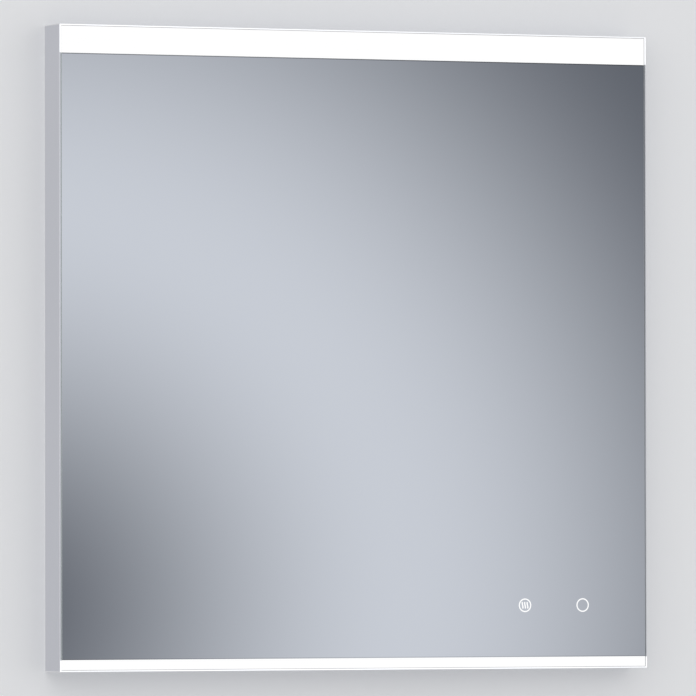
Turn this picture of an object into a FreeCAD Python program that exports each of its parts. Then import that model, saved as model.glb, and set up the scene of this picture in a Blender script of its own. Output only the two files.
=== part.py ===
import FreeCAD, Part
import math
import os
import Sketcher

# Square lighted wall mirror. X runs to the right, +Y into the wall, Z up. The wall is the plane
# y = 0 and the glass faces -Y, so a "depth" below is measured from the wall and lies at y = -depth.
# The origin is the centre of the wall rail's slots, on the wall.

os.makedirs("parts", exist_ok=True)
doc = FreeCAD.newDocument("LightedMirror")

# Driving sizes, in millimetres.
SIZES = {
    # whole mirror
    "width": 800,
    "height": 800,
    "depth": 50,
    "rail_drop": 120,
    "top_band": 36,
    "bottom_band": 15,
    # frame extrusion
    "frame_wall": 2,
    "rib_wall": 1.6,
    "edge_break": 0.5,
    "glass_ledge": 4,
    "cover_ledge": 14,
    "back_lip": 3,
    "channel_depth": 22.4,
    "channel_width": 14,
    "channel_reach": 3.2,
    "channel_lip": 2.5,
    "key_leg": 45,
    "key_clear": 0.1,
    "key_thick": 3,
    "key_screw_place": 30,
    "key_screw_radius": 2,
    "key_screw_length": 4.4,
    # glass and what lies on its back
    "glass_thick": 5,
    "glass_gap": 0.4,
    "glass_arris": 0.6,
    "coating_thick": 0.2,
    "coating_setback": 0.5,
    "tape_thick": 0.6,
    "tape_width": 3.2,
    "tape_inset": 0.5,
    # light trays, diffusers and strips
    "diffuser_thick": 2,
    "diffuser_gap": 0.3,
    "tray_wall": 1.2,
    "tray_clear": 0.4,
    "tray_end_gap": 24,
    "top_tray_reach": 43,
    "bottom_tray_reach": 27,
    "diffuser_seat": 1.5,
    "board_width": 10,
    "board_thick": 1.6,
    "board_place": 21,
    "board_end_gap": 4,
    "led_length": 3.5,
    "led_width": 2.8,
    "led_tall": 0.8,
    "led_pitch": 16.6,
    "led_end_gap": 12,
    # rear cover and its screws
    "cover_recess": 15,
    "cover_thick": 1,
    "cover_gap": 0.6,
    "screw_inset": 11.5,
    "screw_end": 100,
    "screw_radius": 1.75,
    "screw_clear": 0.15,
    "screw_head_radius": 3.4,
    "screw_head_tall": 2,
    "screw_length": 7,
    "bead_tall": 2.4,
    "bead_width": 16,
    "bead_drop": 215,
    "bead_rise": 210,
    "bead_first": 90,
    "bead_step": 120,
    "bead_count": 3,
    "vent_width": 4,
    "vent_length": 24,
    "vent_pitch": 12,
    "vent_rise": 165,
    "vent_place": 210,
    "vent_count": 9,
    # cross rails
    "upper_rail_place": 45,
    "lower_rail_rise": 120,
    "cross_wall": 1.5,
    "cross_width": 40,
    "cross_deep": 12.4,
    "pad_place": 150,
    "pad_length": 60,
    "pad_width": 30,
    # cleat: wall rail and hook rail
    "wall_rail_length": 520,
    "wall_rail_down": 16,
    "wall_rail_up": 16,
    "rail_wall": 2,
    "wall_rail_stand": 6,
    "wall_rail_lip": 14,
    "slot_spacing": 400,
    "slot_length": 24,
    "slot_radius": 3.25,
    "hook_length": 440,
    "hook_lip_depth": 3,
    "hook_lip_drop": 12,
    "hook_base": 26,
    "hook_screw_radius": 2.5,
    "hook_screw_clear": 0.25,
    "hook_head_radius": 4.6,
    "hook_head_tall": 2.6,
    "hook_screw_length": 11,
    "hook_screw_inner": 70,
    "hook_screw_outer": 190,
    "nut_flats": 8,
    "nut_tall": 4,
    "spacer_radius": 6,
    # wall bumpers
    "bumper_inset": 70,
    "bumper_radius": 10,
    "bumper_edge": 1.5,
    "bumper_well_radius": 4.6,
    "bumper_well": 9,
    "bumper_screw_radius": 2,
    "bumper_head_radius": 3.8,
    "bumper_head_tall": 2.4,
    "bumper_screw_length": 14,
    # supply inlet: terminal box, lid and gland
    "inlet_rise": 350,
    "box_width": 120,
    "box_height": 60,
    "box_deep": 21,
    "box_wall": 1.8,
    "box_corner": 5,
    "lid_shift": 14,
    "lid_width": 78,
    "lid_height": 52,
    "lid_thick": 1.5,
    "opening_width": 54,
    "opening_height": 36,
    "opening_corner": 4,
    "lid_screw_place": 33,
    "lid_screw_radius": 1.5,
    "lid_head_radius": 2.8,
    "lid_head_tall": 1.8,
    "lid_screw_length": 12,
    "boss_radius": 4,
    "block_width": 36,
    "block_height": 22,
    "block_tall": 14,
    "block_ways": 3,
    "block_wire_radius": 2.2,
    "block_well_radius": 2.6,
    "block_well_deep": 7,
    "gland_place": 40,
    "cable_bore": 8.4,
    "gland_thread_radius": 6,
    "gland_hole_clear": 0.15,
    "gland_flats": 17,
    "gland_flange": 3,
    "gland_inner_length": 8,
    "gland_outer_length": 6.4,
    "gland_seal_length": 4.4,
    "gland_seal_wall": 1.2,
    "gland_nut_radius": 8.2,
    "gland_nut_wall": 1.6,
    "locknut_tall": 3.5,
    # driver
    "driver_share": 0.5,
    "driver_length": 150,
    "driver_width": 52,
    "driver_deep": 20,
    "driver_wall": 1.8,
    "driver_corner": 4,
    "driver_lid_thick": 2,
    "driver_lid_rim": 2,
    "driver_ear": 11,
    "driver_ear_thick": 2.6,
    "driver_ear_width": 20,
    "driver_screw_radius": 1.75,
    "driver_screw_length": 5,
    "driver_slot_pitch": 9,
    "driver_slot_width": 3,
    "driver_slot_length": 22,
    "driver_slot_count": 11,
    "driver_board_gap": 2.4,
    "driver_board_thick": 1.6,
    "driver_board_inset": 3,
    "driver_post_radius": 2.6,
    "driver_post_inset": 9,
    # touch sensors and demister
    "sensor_rise": 80,
    "light_sensor_inset": 90,
    "sensor_spacing": 80,
    "sensor_side": 36,
    "sensor_deep": 14,
    "sensor_wall": 1.6,
    "sensor_corner": 4,
    "sensor_gap": 0.2,
    "sensor_fit": 0.2,
    "sensor_board_place": 6.6,
    "sensor_board_thick": 1.2,
    "sensor_post": 6,
    "sensor_lead_place": 8,
    "window_thick": 1.5,
    "window_wall": 1.2,
    "demister_width": 480,
    "demister_height": 360,
    "demister_thick": 0.5,
    "demister_corner": 15,
    "demister_rise": 400,
    "demister_gap": 0.1,
    "demister_tab_width": 24,
    "demister_tab_height": 20,
    "demister_tab_thick": 5,
    "demister_tab_place": 222,
    "demister_tab_inset": 5,
    # leads
    "lead_radius": 2.25,
    "lead_clear": 0.25,
    "lead_lift": 0.35,
    "lead_in": 4,
    "lead_front": 35.5,
    "lead_middle": 27,
    "lead_drop": 28,
    "lead_climb": 38,
    "lead_over_rail": 12,
    "strip_lead_climb": 14,
    "driver_lead_rise": 4,
    "demister_feed_place": 30,
    "clip_wall": 1.8,
    "clip_length": 8,
    "clip_rise": 230,
    "clip_drop": 170,
}

sheet = doc.addObject("Spreadsheet::Sheet", "Sheet")
for row, (alias, value) in enumerate(SIZES.items(), start=1):
    sheet.set(f"A{row}", alias)
    sheet.set(f"B{row}", str(value))
    sheet.setAlias(f"B{row}", alias)
doc.recompute()


class Size:
    """A length that carries its value and the sheet formula it comes from."""

    def __init__(self, value, formula):
        self.value = float(value)
        self.formula = formula

    def __add__(self, other):
        other = as_size(other)
        return Size(self.value + other.value, f"({self.formula} + {other.formula})")

    def __sub__(self, other):
        other = as_size(other)
        return Size(self.value - other.value, f"({self.formula} - {other.formula})")

    def __mul__(self, other):
        other = as_size(other)
        return Size(self.value * other.value, f"({self.formula} * {other.formula})")

    def __truediv__(self, other):
        other = as_size(other)
        return Size(self.value / other.value, f"({self.formula} / {other.formula})")

    def __neg__(self):
        return Size(-self.value, f"(-{self.formula})")

    def __radd__(self, other):
        return as_size(other) + self

    def __rsub__(self, other):
        return as_size(other) - self

    def __rmul__(self, other):
        return as_size(other) * self

    def floor(self):
        return Size(math.floor(self.value), f"floor({self.formula})")


def as_size(length):
    if isinstance(length, Size):
        return length
    return Size(length, str(length))


class Sizes:
    """Every driving size by its name in the sheet."""

    def __init__(self):
        for alias in SIZES:
            setattr(self, alias, Size(sheet.get(alias), f"Sheet.{alias}"))


size = Sizes()
nodes = []

# Places worked out from the driving sizes.
half = size.width / 2
top = size.rail_drop
bottom = size.rail_drop - size.height
glass_back = size.depth - size.glass_thick
coating_back = glass_back - size.coating_thick
ledge_front = coating_back - size.tape_thick
cover_back = size.cover_recess
cover_front = size.cover_recess + size.cover_thick
cover_ledge_front = cover_front + size.rib_wall
cover_ledge_reach = size.frame_wall + size.cover_ledge
channel_front = size.channel_depth + size.channel_width
channel_face = size.frame_wall + size.channel_reach + size.rib_wall
tray_start = channel_face + size.tray_clear
tray_half = half - size.tray_end_gap
diffuser_back = glass_back - size.diffuser_gap - size.diffuser_thick
cross_half = half - tray_start
sensor_z = bottom + size.sensor_rise
light_sensor_x = half - size.light_sensor_inset
demister_sensor_x = light_sensor_x - size.sensor_spacing
demister_z = bottom + size.demister_rise
lower_rail_z = bottom + size.lower_rail_rise
vent_z = bottom + size.vent_rise
inlet_z = bottom + size.inlet_rise
driver_x = half * size.driver_share
hook_top = size.wall_rail_up + size.wall_rail_lip
wall_rail_face = size.wall_rail_stand + size.rail_wall


# ---------------------------------------------------------------- drawing helpers

def new_body(label):
    """Start a sub-part whose label names its file."""
    made = doc.addObject("PartDesign::Body", label)
    made.Label = label
    nodes.append(made)
    return made


def new_sketch(body, name, role, offset=0):
    """Sketch on one of the body's own planes, moved along the plane's normal by offset."""
    offset = as_size(offset)
    made = body.newObject("Sketcher::SketchObject", f"{body.Label}_{name}")
    base = next(feature for feature in body.Origin.OriginFeatures if feature.Role == role)
    made.AttachmentSupport = [(base, "")]
    made.MapMode = "FlatFace"
    shift = FreeCAD.Vector(0, 0, offset.value)
    made.AttachmentOffset = FreeCAD.Placement(shift, FreeCAD.Rotation())
    made.setExpression("AttachmentOffset.Base.z", offset.formula)
    return made


def front_sketch(body, name, depth=0):
    """Sketch of x and z, seen from the front, at a depth from the wall."""
    return new_sketch(body, name, "XZ_Plane", depth)


def hold(sketch, lengths):
    """Hold points to the origin, each by a length of the sheet, all in one step."""
    first = sketch.ConstraintCount
    held = []
    for kind, geometry, point, length in lengths:
        held.append(Sketcher.Constraint(kind, -1, 1, geometry, point, length.value))
    sketch.addConstraint(held)
    for index, (_, _, _, length) in enumerate(lengths):
        sketch.setExpression(f"Constraints[{first + index}]", length.formula)


def hold_points(sketch, points):
    """Hold each (geometry, point, across, up) by its two lengths."""
    lengths = []
    for geometry, point, across, up in points:
        lengths.append(("DistanceX", geometry, point, as_size(across)))
        lengths.append(("DistanceY", geometry, point, as_size(up)))
    hold(sketch, lengths)


def add_loop(sketch, corners):
    """Closed polygon whose corners are all held by sizes."""
    corners = [(as_size(across), as_size(up)) for across, up in corners]
    first = sketch.GeometryCount
    count = len(corners)
    lines = []
    joined = []
    points = []
    for index, (across, up) in enumerate(corners):
        next_across, next_up = corners[(index + 1) % count]
        following = first + (index + 1) % count
        start = FreeCAD.Vector(across.value, up.value, 0)
        end = FreeCAD.Vector(next_across.value, next_up.value, 0)
        lines.append(Part.LineSegment(start, end))
        joined.append(Sketcher.Constraint("Coincident", first + index, 2, following, 1))
        points.append((first + index, 1, across, up))
    sketch.addGeometry(lines, False)
    sketch.addConstraint(joined)
    hold_points(sketch, points)


def add_box(sketch, left, low, right, high):
    add_loop(sketch, [(left, low), (right, low), (right, high), (left, high)])


def add_centred_box(sketch, across, up, width, height):
    across = as_size(across)
    up = as_size(up)
    add_box(sketch, across - width / 2, up - height / 2, across + width / 2, up + height / 2)


def add_circle(sketch, across, up, radius):
    across = as_size(across)
    up = as_size(up)
    radius = as_size(radius)
    centre = FreeCAD.Vector(across.value, up.value, 0)
    ring = Part.Circle(centre, FreeCAD.Vector(0, 0, 1), radius.value)
    made = sketch.addGeometry(ring, False)
    hold_points(sketch, [(made, 3, across, up)])
    held = sketch.addConstraint(Sketcher.Constraint("Radius", made, radius.value))
    sketch.setExpression(f"Constraints[{held}]", radius.formula)


def add_peg(sketch, across, up, radius, sides=8):
    """Small round outline with a few straight sides, for screws, their holes and the like."""
    across, up, radius = map(as_size, (across, up, radius))
    corners = []
    for step in range(sides):
        turn = (step + 0.5) * 2 * math.pi / sides
        corners.append((across + radius * math.cos(turn), up + radius * math.sin(turn)))
    add_loop(sketch, corners)


def add_trimmed(sketch, across, up, width, height, trim):
    """Rectangle about a centre whose corners are cut off straight."""
    across, up, width, height, trim = map(as_size, (across, up, width, height, trim))
    corners = []
    for side, level in ((1, -1), (1, 1), (-1, 1), (-1, -1)):
        far = (across + side * width / 2, up + level * (height / 2 - trim))
        high = (across + side * (width / 2 - trim), up + level * height / 2)
        corners += [far, high] if side == level else [high, far]
    add_loop(sketch, corners)


def add_slot(sketch, across, up, length, radius):
    """Level slot with round ends about a centre."""
    across, up, length, radius = map(as_size, (across, up, length, radius))
    reach = length / 2 - radius
    first = sketch.GeometryCount
    ends = []
    for side in (1, -1):
        end_across = across + side * reach
        ends.append((end_across, up))
        middle = FreeCAD.Vector(end_across.value, up.value, 0)
        ring = Part.Circle(middle, FreeCAD.Vector(0, 0, 1), radius.value)
        start = -side * math.pi / 2
        sketch.addGeometry(Part.ArcOfCircle(ring, start, start + math.pi), False)
    for index in range(2):
        start = sketch.getPoint(first + index, 2)
        end = sketch.getPoint(first + 1 - index, 1)
        sketch.addGeometry(Part.LineSegment(start, end), False)
    for index, (end_across, end_up) in enumerate(ends):
        arc = first + index
        line = first + 2 + index
        other = first + 1 - index
        sketch.addConstraint(Sketcher.Constraint("Tangent", arc, 2, line, 1))
        sketch.addConstraint(Sketcher.Constraint("Tangent", line, 2, other, 1))
        hold_points(sketch, [(arc, 3, end_across, end_up)])
    held = sketch.addConstraint(Sketcher.Constraint("Radius", first, radius.value))
    sketch.setExpression(f"Constraints[{held}]", radius.formula)


def centred_row(middle, pitch, count):
    """Evenly spaced places about a middle."""
    steps = int(count.value)
    return [middle + (step - (steps - 1) / 2) * pitch for step in range(steps)]


def add_hexagon(sketch, across, up, flats):
    """Hexagon about a centre with two flats upright."""
    reach = flats / 2
    slant = flats * (0.5 / math.sqrt(3))
    corners = [(reach, -slant), (reach, slant), (0, 2 * slant)]
    corners += [(-reach, slant), (-reach, -slant), (0, -2 * slant)]
    add_loop(sketch, [(across + side, up + level) for side, level in corners])


def pad(body, sketch, length, away=True, both_ways=False):
    """Raise a sketch along its normal, against it, or half each way."""
    length = as_size(length)
    made = body.newObject("PartDesign::Pad", f"{sketch.Name}_pad")
    made.Profile = sketch
    made.Length = length.value
    made.setExpression("Length", length.formula)
    made.Reversed = not away
    made.SideType = "Symmetric" if both_ways else "One side"
    sketch.Visibility = False
    doc.recompute()
    return made


def cut(body, sketch, length, away=True, both_ways=False):
    """Cut a sketch into the body and make sure that material went."""
    before = body.Shape.Volume
    length = as_size(length)
    made = body.newObject("PartDesign::Pocket", f"{sketch.Name}_cut")
    made.Profile = sketch
    made.Length = length.value
    made.setExpression("Length", length.formula)
    made.Reversed = away
    made.SideType = "Symmetric" if both_ways else "One side"
    doc.recompute()
    if body.Shape.Volume >= before:
        raise RuntimeError(f"{sketch.Name} cuts nothing")
    return made


def repeat(body, feature, sketch, pitch, count):
    """Row of one feature along the sketch's horizontal axis."""
    pitch = as_size(pitch)
    count = as_size(count)
    made = body.newObject("PartDesign::LinearPattern", f"{feature.Name}_row")
    made.Originals = [feature]
    made.Direction = (sketch, ["H_Axis"])
    made.Mode = "Spacing"
    made.Offset = pitch.value
    made.setExpression("Offset", pitch.formula)
    made.Occurrences = int(count.value)
    made.setExpression("Occurrences", count.formula)
    body.Tip = made
    doc.recompute()
    return made


def in_threes(places):
    """Numbered groups of at most three places, one sketch each, which keeps sketches small."""
    return list(enumerate(places[start:start + 3] for start in range(0, len(places), 3)))


def raise_pegs(body, name, places, radius, depth, length, away=True):
    """Studs at places in the front view, from a depth towards the front or the wall."""
    for number, group in in_threes(places):
        studs = front_sketch(body, f"{name}_{number}", depth)
        for across, up in group:
            add_peg(studs, across, up, radius)
        pad(body, studs, length, away=away)


def drill(body, name, places, radius, depth, length):
    """Small holes at places in the front view, from a depth towards the front."""
    for number, group in in_threes(places):
        holes = front_sketch(body, f"{name}_{number}", depth)
        for across, up in group:
            add_peg(holes, across, up, radius)
        cut(body, holes, length)


def break_edges(body, width, wanted):
    """Chamfer the edges of the body's last feature that the test picks."""
    width = as_size(width)
    base = body.Tip
    picked = [f"Edge{number}" for number, edge in enumerate(base.Shape.Edges, start=1) if wanted(edge)]
    made = body.newObject("PartDesign::Chamfer", f"{base.Name}_edges")
    made.Base = (base, picked)
    made.Size = width.value
    made.setExpression("Size", width.formula)
    doc.recompute()
    return made


def at_depth(depth):
    """Test for edges that lie wholly at one depth from the wall."""
    level = -as_size(depth).value

    def lies_there(edge):
        box = edge.BoundBox
        return abs(box.YMin - level) < 1e-6 and abs(box.YMax - level) < 1e-6

    return lies_there


# ---------------------------------------------------------------- frame

def frame_section():
    """Corners of the extrusion as (inward from the outer face, depth from the wall)."""
    wall = size.frame_wall
    rib = size.rib_wall
    channel_in = wall + size.channel_reach
    lip_back = size.channel_depth + size.channel_lip
    lip_front = channel_front - size.channel_lip
    edge = size.edge_break
    return [
        (edge, 0),
        (0, edge),
        (0, size.depth - edge),
        (edge, size.depth),
        (wall, size.depth),
        # ledge behind the glass
        (wall, ledge_front),
        (wall + size.glass_ledge, ledge_front),
        (wall + size.glass_ledge, ledge_front - rib),
        (wall, ledge_front - rib),
        # channel that holds the corner keys
        (wall, channel_front + rib),
        (channel_face, channel_front + rib),
        (channel_face, lip_front),
        (channel_in, lip_front),
        (channel_in, channel_front),
        (wall, channel_front),
        (wall, size.channel_depth),
        (channel_in, size.channel_depth),
        (channel_in, lip_back),
        (channel_face, lip_back),
        (channel_face, size.channel_depth - rib),
        (wall, size.channel_depth - rib),
        # ledge that the rear cover lies on
        (wall, cover_ledge_front),
        (cover_ledge_reach, cover_ledge_front),
        (cover_ledge_reach, cover_front),
        (wall, cover_front),
        # lip along the wall
        (wall, rib),
        (wall + size.back_lip, rib),
        (wall + size.back_lip, 0),
    ]


def cover_screw_row(level):
    """Three screws along a level edge of the cover."""
    run = half - size.screw_end
    return [(-run, level), (as_size(0), level), (run, level)]


def cover_screw_column(across):
    """Three screws down an upright edge, two of them into the cross rails."""
    middle = (size.upper_rail_place + lower_rail_z) / 2
    return [(across, size.upper_rail_place), (across, middle), (across, lower_rail_z)]


COVER_SCREWS = {
    "frame_top": cover_screw_row(top - size.screw_inset),
    "frame_bottom": cover_screw_row(bottom + size.screw_inset),
    "frame_left": cover_screw_column(-half + size.screw_inset),
    "frame_right": cover_screw_column(half - size.screw_inset),
}


def mitre(body, corners):
    """Cut both ends of an extrusion on the diagonal."""
    wedges = front_sketch(body, "mitres")
    for wedge in corners:
        add_loop(wedges, wedge)
    cut(body, wedges, size.depth)


def frame_level(label, edge, inward):
    """Top or bottom extrusion: edge is its outer level, inward +1 for up and -1 for down."""
    body = new_body(label)
    section = new_sketch(body, "section", "YZ_Plane")
    add_loop(section, [(-as_size(depth), edge + inward * as_size(reach))
                       for reach, depth in frame_section()])
    pad(body, section, size.width, both_ways=True)
    reach = cover_ledge_reach + size.rib_wall
    inner = edge + inward * reach
    wedges = []
    for side in (-1, 1):
        wedges.append([(side * half, edge), (side * half, inner), (side * (half - reach), inner)])
    mitre(body, wedges)
    radius = size.screw_radius + size.screw_clear
    drill(body, "cover_holes", COVER_SCREWS[label], radius, cover_front, size.rib_wall)


def frame_upright(label, side):
    """Left or right extrusion, side -1 or +1."""
    body = new_body(label)
    section = new_sketch(body, "section", "XY_Plane", bottom)
    add_loop(section, [(side * (half - as_size(reach)), -as_size(depth))
                       for reach, depth in frame_section()])
    pad(body, section, size.height)
    reach = cover_ledge_reach + size.rib_wall
    inner = side * (half - reach)
    wedges = []
    for edge, inward in ((top, -1), (bottom, 1)):
        wedges.append([(side * half, edge), (inner, edge), (inner, edge + inward * reach)])
    mitre(body, wedges)
    radius = size.screw_radius + size.screw_clear
    drill(body, "cover_holes", COVER_SCREWS[label], radius, cover_front, size.rib_wall)


frame_level("frame_top", top, -1)
frame_level("frame_bottom", bottom, 1)
frame_upright("frame_left", -1)
frame_upright("frame_right", 1)


# ---------------------------------------------------------------- corner keys

CORNERS = [(-1, top, -1), (1, top, -1), (-1, bottom, 1), (1, bottom, 1)]
key_out = size.frame_wall + size.key_clear
key_in = key_out + size.key_thick
key_start = size.channel_depth + 2 * size.key_clear
key_width = size.channel_width - 4 * size.key_clear
key_middle = size.channel_depth + size.channel_width / 2


def corner_keys():
    """Angle keys that slide into the channels and hold each mitre square."""
    body = new_body("corner_keys")
    angles = front_sketch(body, "angles", key_start)
    for side, edge, inward in CORNERS:
        def place(across, up):
            return (side * (half - across), edge + inward * up)
        corners = [place(key_out, key_out), place(size.key_leg, key_out), place(size.key_leg, key_in)]
        corners += [place(key_in, key_in), place(key_in, size.key_leg), place(key_out, size.key_leg)]
        add_loop(angles, corners)
    pad(body, angles, key_width)
    radius = size.key_screw_radius + size.key_clear
    for edge, inward, name in ((top, -1, "upper"), (bottom, 1, "lower")):
        holes = new_sketch(body, f"{name}_holes", "XY_Plane", edge + inward * key_out)
        for side in (-1, 1):
            add_peg(holes, side * (half - size.key_screw_place), -key_middle, radius)
        cut(body, holes, size.key_thick, away=inward > 0)
    for side, name in ((-1, "left"), (1, "right")):
        holes = new_sketch(body, f"{name}_holes", "YZ_Plane", side * (half - key_out))
        for edge, inward in ((top, -1), (bottom, 1)):
            add_peg(holes, -key_middle, edge + inward * size.key_screw_place, radius)
        cut(body, holes, size.key_thick, away=side < 0)


def corner_key_screws():
    """Grub screws that bite on the extrusion through the keys."""
    body = new_body("corner_key_screws")
    start = key_out + size.key_clear
    for edge, inward, name in ((top, -1, "upper"), (bottom, 1, "lower")):
        shanks = new_sketch(body, f"{name}_shanks", "XY_Plane", edge + inward * start)
        for side in (-1, 1):
            across = side * (half - size.key_screw_place)
            add_peg(shanks, across, -key_middle, size.key_screw_radius)
        pad(body, shanks, size.key_screw_length, away=inward > 0)
    for side, name in ((-1, "left"), (1, "right")):
        shanks = new_sketch(body, f"{name}_shanks", "YZ_Plane", side * (half - start))
        for edge, inward in ((top, -1), (bottom, 1)):
            level = edge + inward * size.key_screw_place
            add_peg(shanks, -key_middle, level, size.key_screw_radius)
        pad(body, shanks, size.key_screw_length, away=side < 0)


corner_keys()
corner_key_screws()


# ---------------------------------------------------------------- glass, coating, tape

glass_inset = size.frame_wall + size.glass_gap


def mirror_glass():
    body = new_body("mirror_glass")
    pane = front_sketch(body, "pane", glass_back)
    add_box(pane, -half + glass_inset, bottom + glass_inset, half - glass_inset, top - glass_inset)
    pad(body, pane, size.glass_thick)
    break_edges(body, size.glass_arris, at_depth(size.depth))


def silver_backing():
    """Silver coat between the two clear light bands."""
    body = new_body("silver_backing")
    coat = front_sketch(body, "coat", coating_back)
    reach = half - glass_inset - size.coating_setback
    low = bottom + size.bottom_band + size.tray_wall
    high = top - size.top_band - size.tray_wall
    add_box(coat, -reach, low, reach, high)
    pad(body, coat, size.coating_thick)


def glass_tape():
    """Closed frame of bonding tape on the ledge."""
    body = new_body("glass_tape")
    ring = front_sketch(body, "ring", ledge_front)
    outer = size.frame_wall + size.tape_inset
    inner = outer + size.tape_width
    for inset in (outer, inner):
        add_box(ring, -half + inset, bottom + inset, half - inset, top - inset)
    pad(body, ring, size.tape_thick)


mirror_glass()
silver_backing()
glass_tape()


# ---------------------------------------------------------------- light trays and strips

def tray_section(band, reach):
    """Corners of a light tray as (inward from the frame's outer face, depth from the wall).

    The short front wall ends against the glass, where the light band meets the silver.
    """
    wall = size.tray_wall
    inner = tray_start + wall
    return [
        (tray_start, cover_ledge_front),
        (tray_start, diffuser_back),
        (inner, diffuser_back),
        (inner, cover_ledge_front + wall),
        (reach, cover_ledge_front + wall),
        (reach, diffuser_back - wall),
        (band - size.diffuser_seat, diffuser_back - wall),
        (band - size.diffuser_seat, diffuser_back),
        (band, diffuser_back),
        (band, glass_back - size.demister_gap),
        (band + wall, glass_back - size.demister_gap),
        (band + wall, diffuser_back),
        (reach + wall, diffuser_back),
        (reach + wall, cover_ledge_front),
    ]


def light_tray(label, edge, inward, band, reach):
    body = new_body(label)
    section = new_sketch(body, "section", "YZ_Plane")
    add_loop(section, [(-depth, edge + inward * across) for across, depth in tray_section(band, reach)])
    pad(body, section, tray_half * 2, both_ways=True)
    places = cover_screw_row(edge + inward * size.screw_inset)
    radius = size.screw_radius + size.screw_clear
    drill(body, "cover_holes", places, radius, cover_ledge_front, size.tray_wall)


def diffuser(label, edge, inward, band):
    """Opal strip that lies on the tray behind the clear band."""
    body = new_body(label)
    strip = front_sketch(body, "strip", diffuser_back)
    start = size.frame_wall + size.glass_ledge + size.diffuser_gap
    outer = edge + inward * start
    inner = edge + inward * (band - size.diffuser_gap)
    reach = half - start
    add_loop(strip, [(-reach, outer), (reach, outer), (reach, inner), (-reach, inner)])
    pad(body, strip, size.diffuser_thick)


board_back = cover_ledge_front + size.tray_wall
board_front = board_back + size.board_thick
board_half = tray_half - size.board_end_gap


def led_board(label, edge, inward):
    body = new_body(label)
    strip = front_sketch(body, "strip", board_back)
    add_centred_box(strip, 0, edge + inward * size.board_place, 2 * board_half, size.board_width)
    pad(body, strip, size.board_thick)


def led_row(label, edge, inward):
    """Light chips along a board, as many as its length takes."""
    body = new_body(label)
    chip = front_sketch(body, "chip", board_front)
    count = (2 * (board_half - size.led_end_gap) / size.led_pitch).floor()
    first = -(count - 1) * size.led_pitch / 2
    add_centred_box(chip, first, edge + inward * size.board_place, size.led_length, size.led_width)
    lamp = pad(body, chip, size.led_tall)
    repeat(body, lamp, chip, size.led_pitch, count)


light_tray("top_light_tray", top, -1, size.top_band, size.top_tray_reach)
light_tray("bottom_light_tray", bottom, 1, size.bottom_band, size.bottom_tray_reach)
diffuser("top_diffuser", top, -1, size.top_band)
diffuser("bottom_diffuser", bottom, 1, size.bottom_band)
led_board("top_led_board", top, -1)
led_board("bottom_led_board", bottom, 1)
led_row("top_leds", top, -1)
led_row("bottom_leds", bottom, 1)


# ---------------------------------------------------------------- places on the rear cover

HOOK_SCREWS = [(side * across, size.upper_rail_place)
               for across in (size.hook_screw_inner, size.hook_screw_outer) for side in (-1, 1)]
BUMPERS = [(side * (half - size.bumper_inset), lower_rail_z) for side in (-1, 1)]
lid_x = -size.lid_shift
gland_x = size.gland_place
LID_SCREWS = [(lid_x + side * size.lid_screw_place, inlet_z) for side in (-1, 1)]
driver_ear_x = size.driver_length / 2 + size.driver_ear / 2
DRIVER_SCREWS = [(driver_x + side * driver_ear_x, inlet_z) for side in (-1, 1)]
hook_hole = size.hook_screw_radius + size.hook_screw_clear
bumper_hole = size.bumper_screw_radius + size.screw_clear
lid_hole = size.lid_screw_radius + size.screw_clear
driver_hole = size.driver_screw_radius + size.screw_clear


# ---------------------------------------------------------------- cross rails

def cross_rail(label, level, load_places, load_hole):
    """Folded channel between the uprights, screwed to their ledges through the cover."""
    body = new_body(label)
    section = new_sketch(body, "section", "YZ_Plane")
    back = cover_ledge_front
    front = back + size.cross_deep
    low = level - size.cross_width / 2
    high = level + size.cross_width / 2
    wall = size.cross_wall
    corners = [(back, low), (front, low), (front, low + wall), (back + wall, low + wall)]
    corners += [(back + wall, high - wall), (front, high - wall), (front, high), (back, high)]
    add_loop(section, [(-depth, up) for depth, up in corners])
    pad(body, section, 2 * cross_half, both_ways=True)
    ends = [(side * (half - size.screw_inset), level) for side in (-1, 1)]
    radius = size.screw_radius + size.screw_clear
    drill(body, "end_holes", ends, radius, back, wall)
    drill(body, "load_holes", load_places, load_hole, back, wall)


def rail_spacers():
    """Washers that fill the ledge's thickness between the cover and the rails."""
    body = new_body("rail_spacers")
    raise_pegs(body, "discs", HOOK_SCREWS + BUMPERS, size.spacer_radius, cover_front, size.rib_wall)
    drill(body, "hook_holes", HOOK_SCREWS, hook_hole, cover_front, size.rib_wall)
    drill(body, "bumper_holes", BUMPERS, bumper_hole, cover_front, size.rib_wall)


def support_pads():
    """Foam blocks between the cross rails and the back of the glass."""
    body = new_body("support_pads")
    start = cover_ledge_front + size.cross_deep
    blocks = front_sketch(body, "blocks", start)
    for level in (size.upper_rail_place, lower_rail_z):
        for side in (-1, 1):
            add_centred_box(blocks, side * size.pad_place, level, size.pad_length, size.pad_width)
    pad(body, blocks, coating_back - start)


cross_rail("upper_cross_rail", size.upper_rail_place, HOOK_SCREWS, hook_hole)
cross_rail("lower_cross_rail", lower_rail_z, BUMPERS, bumper_hole)
rail_spacers()
support_pads()


# ---------------------------------------------------------------- rear cover

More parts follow.
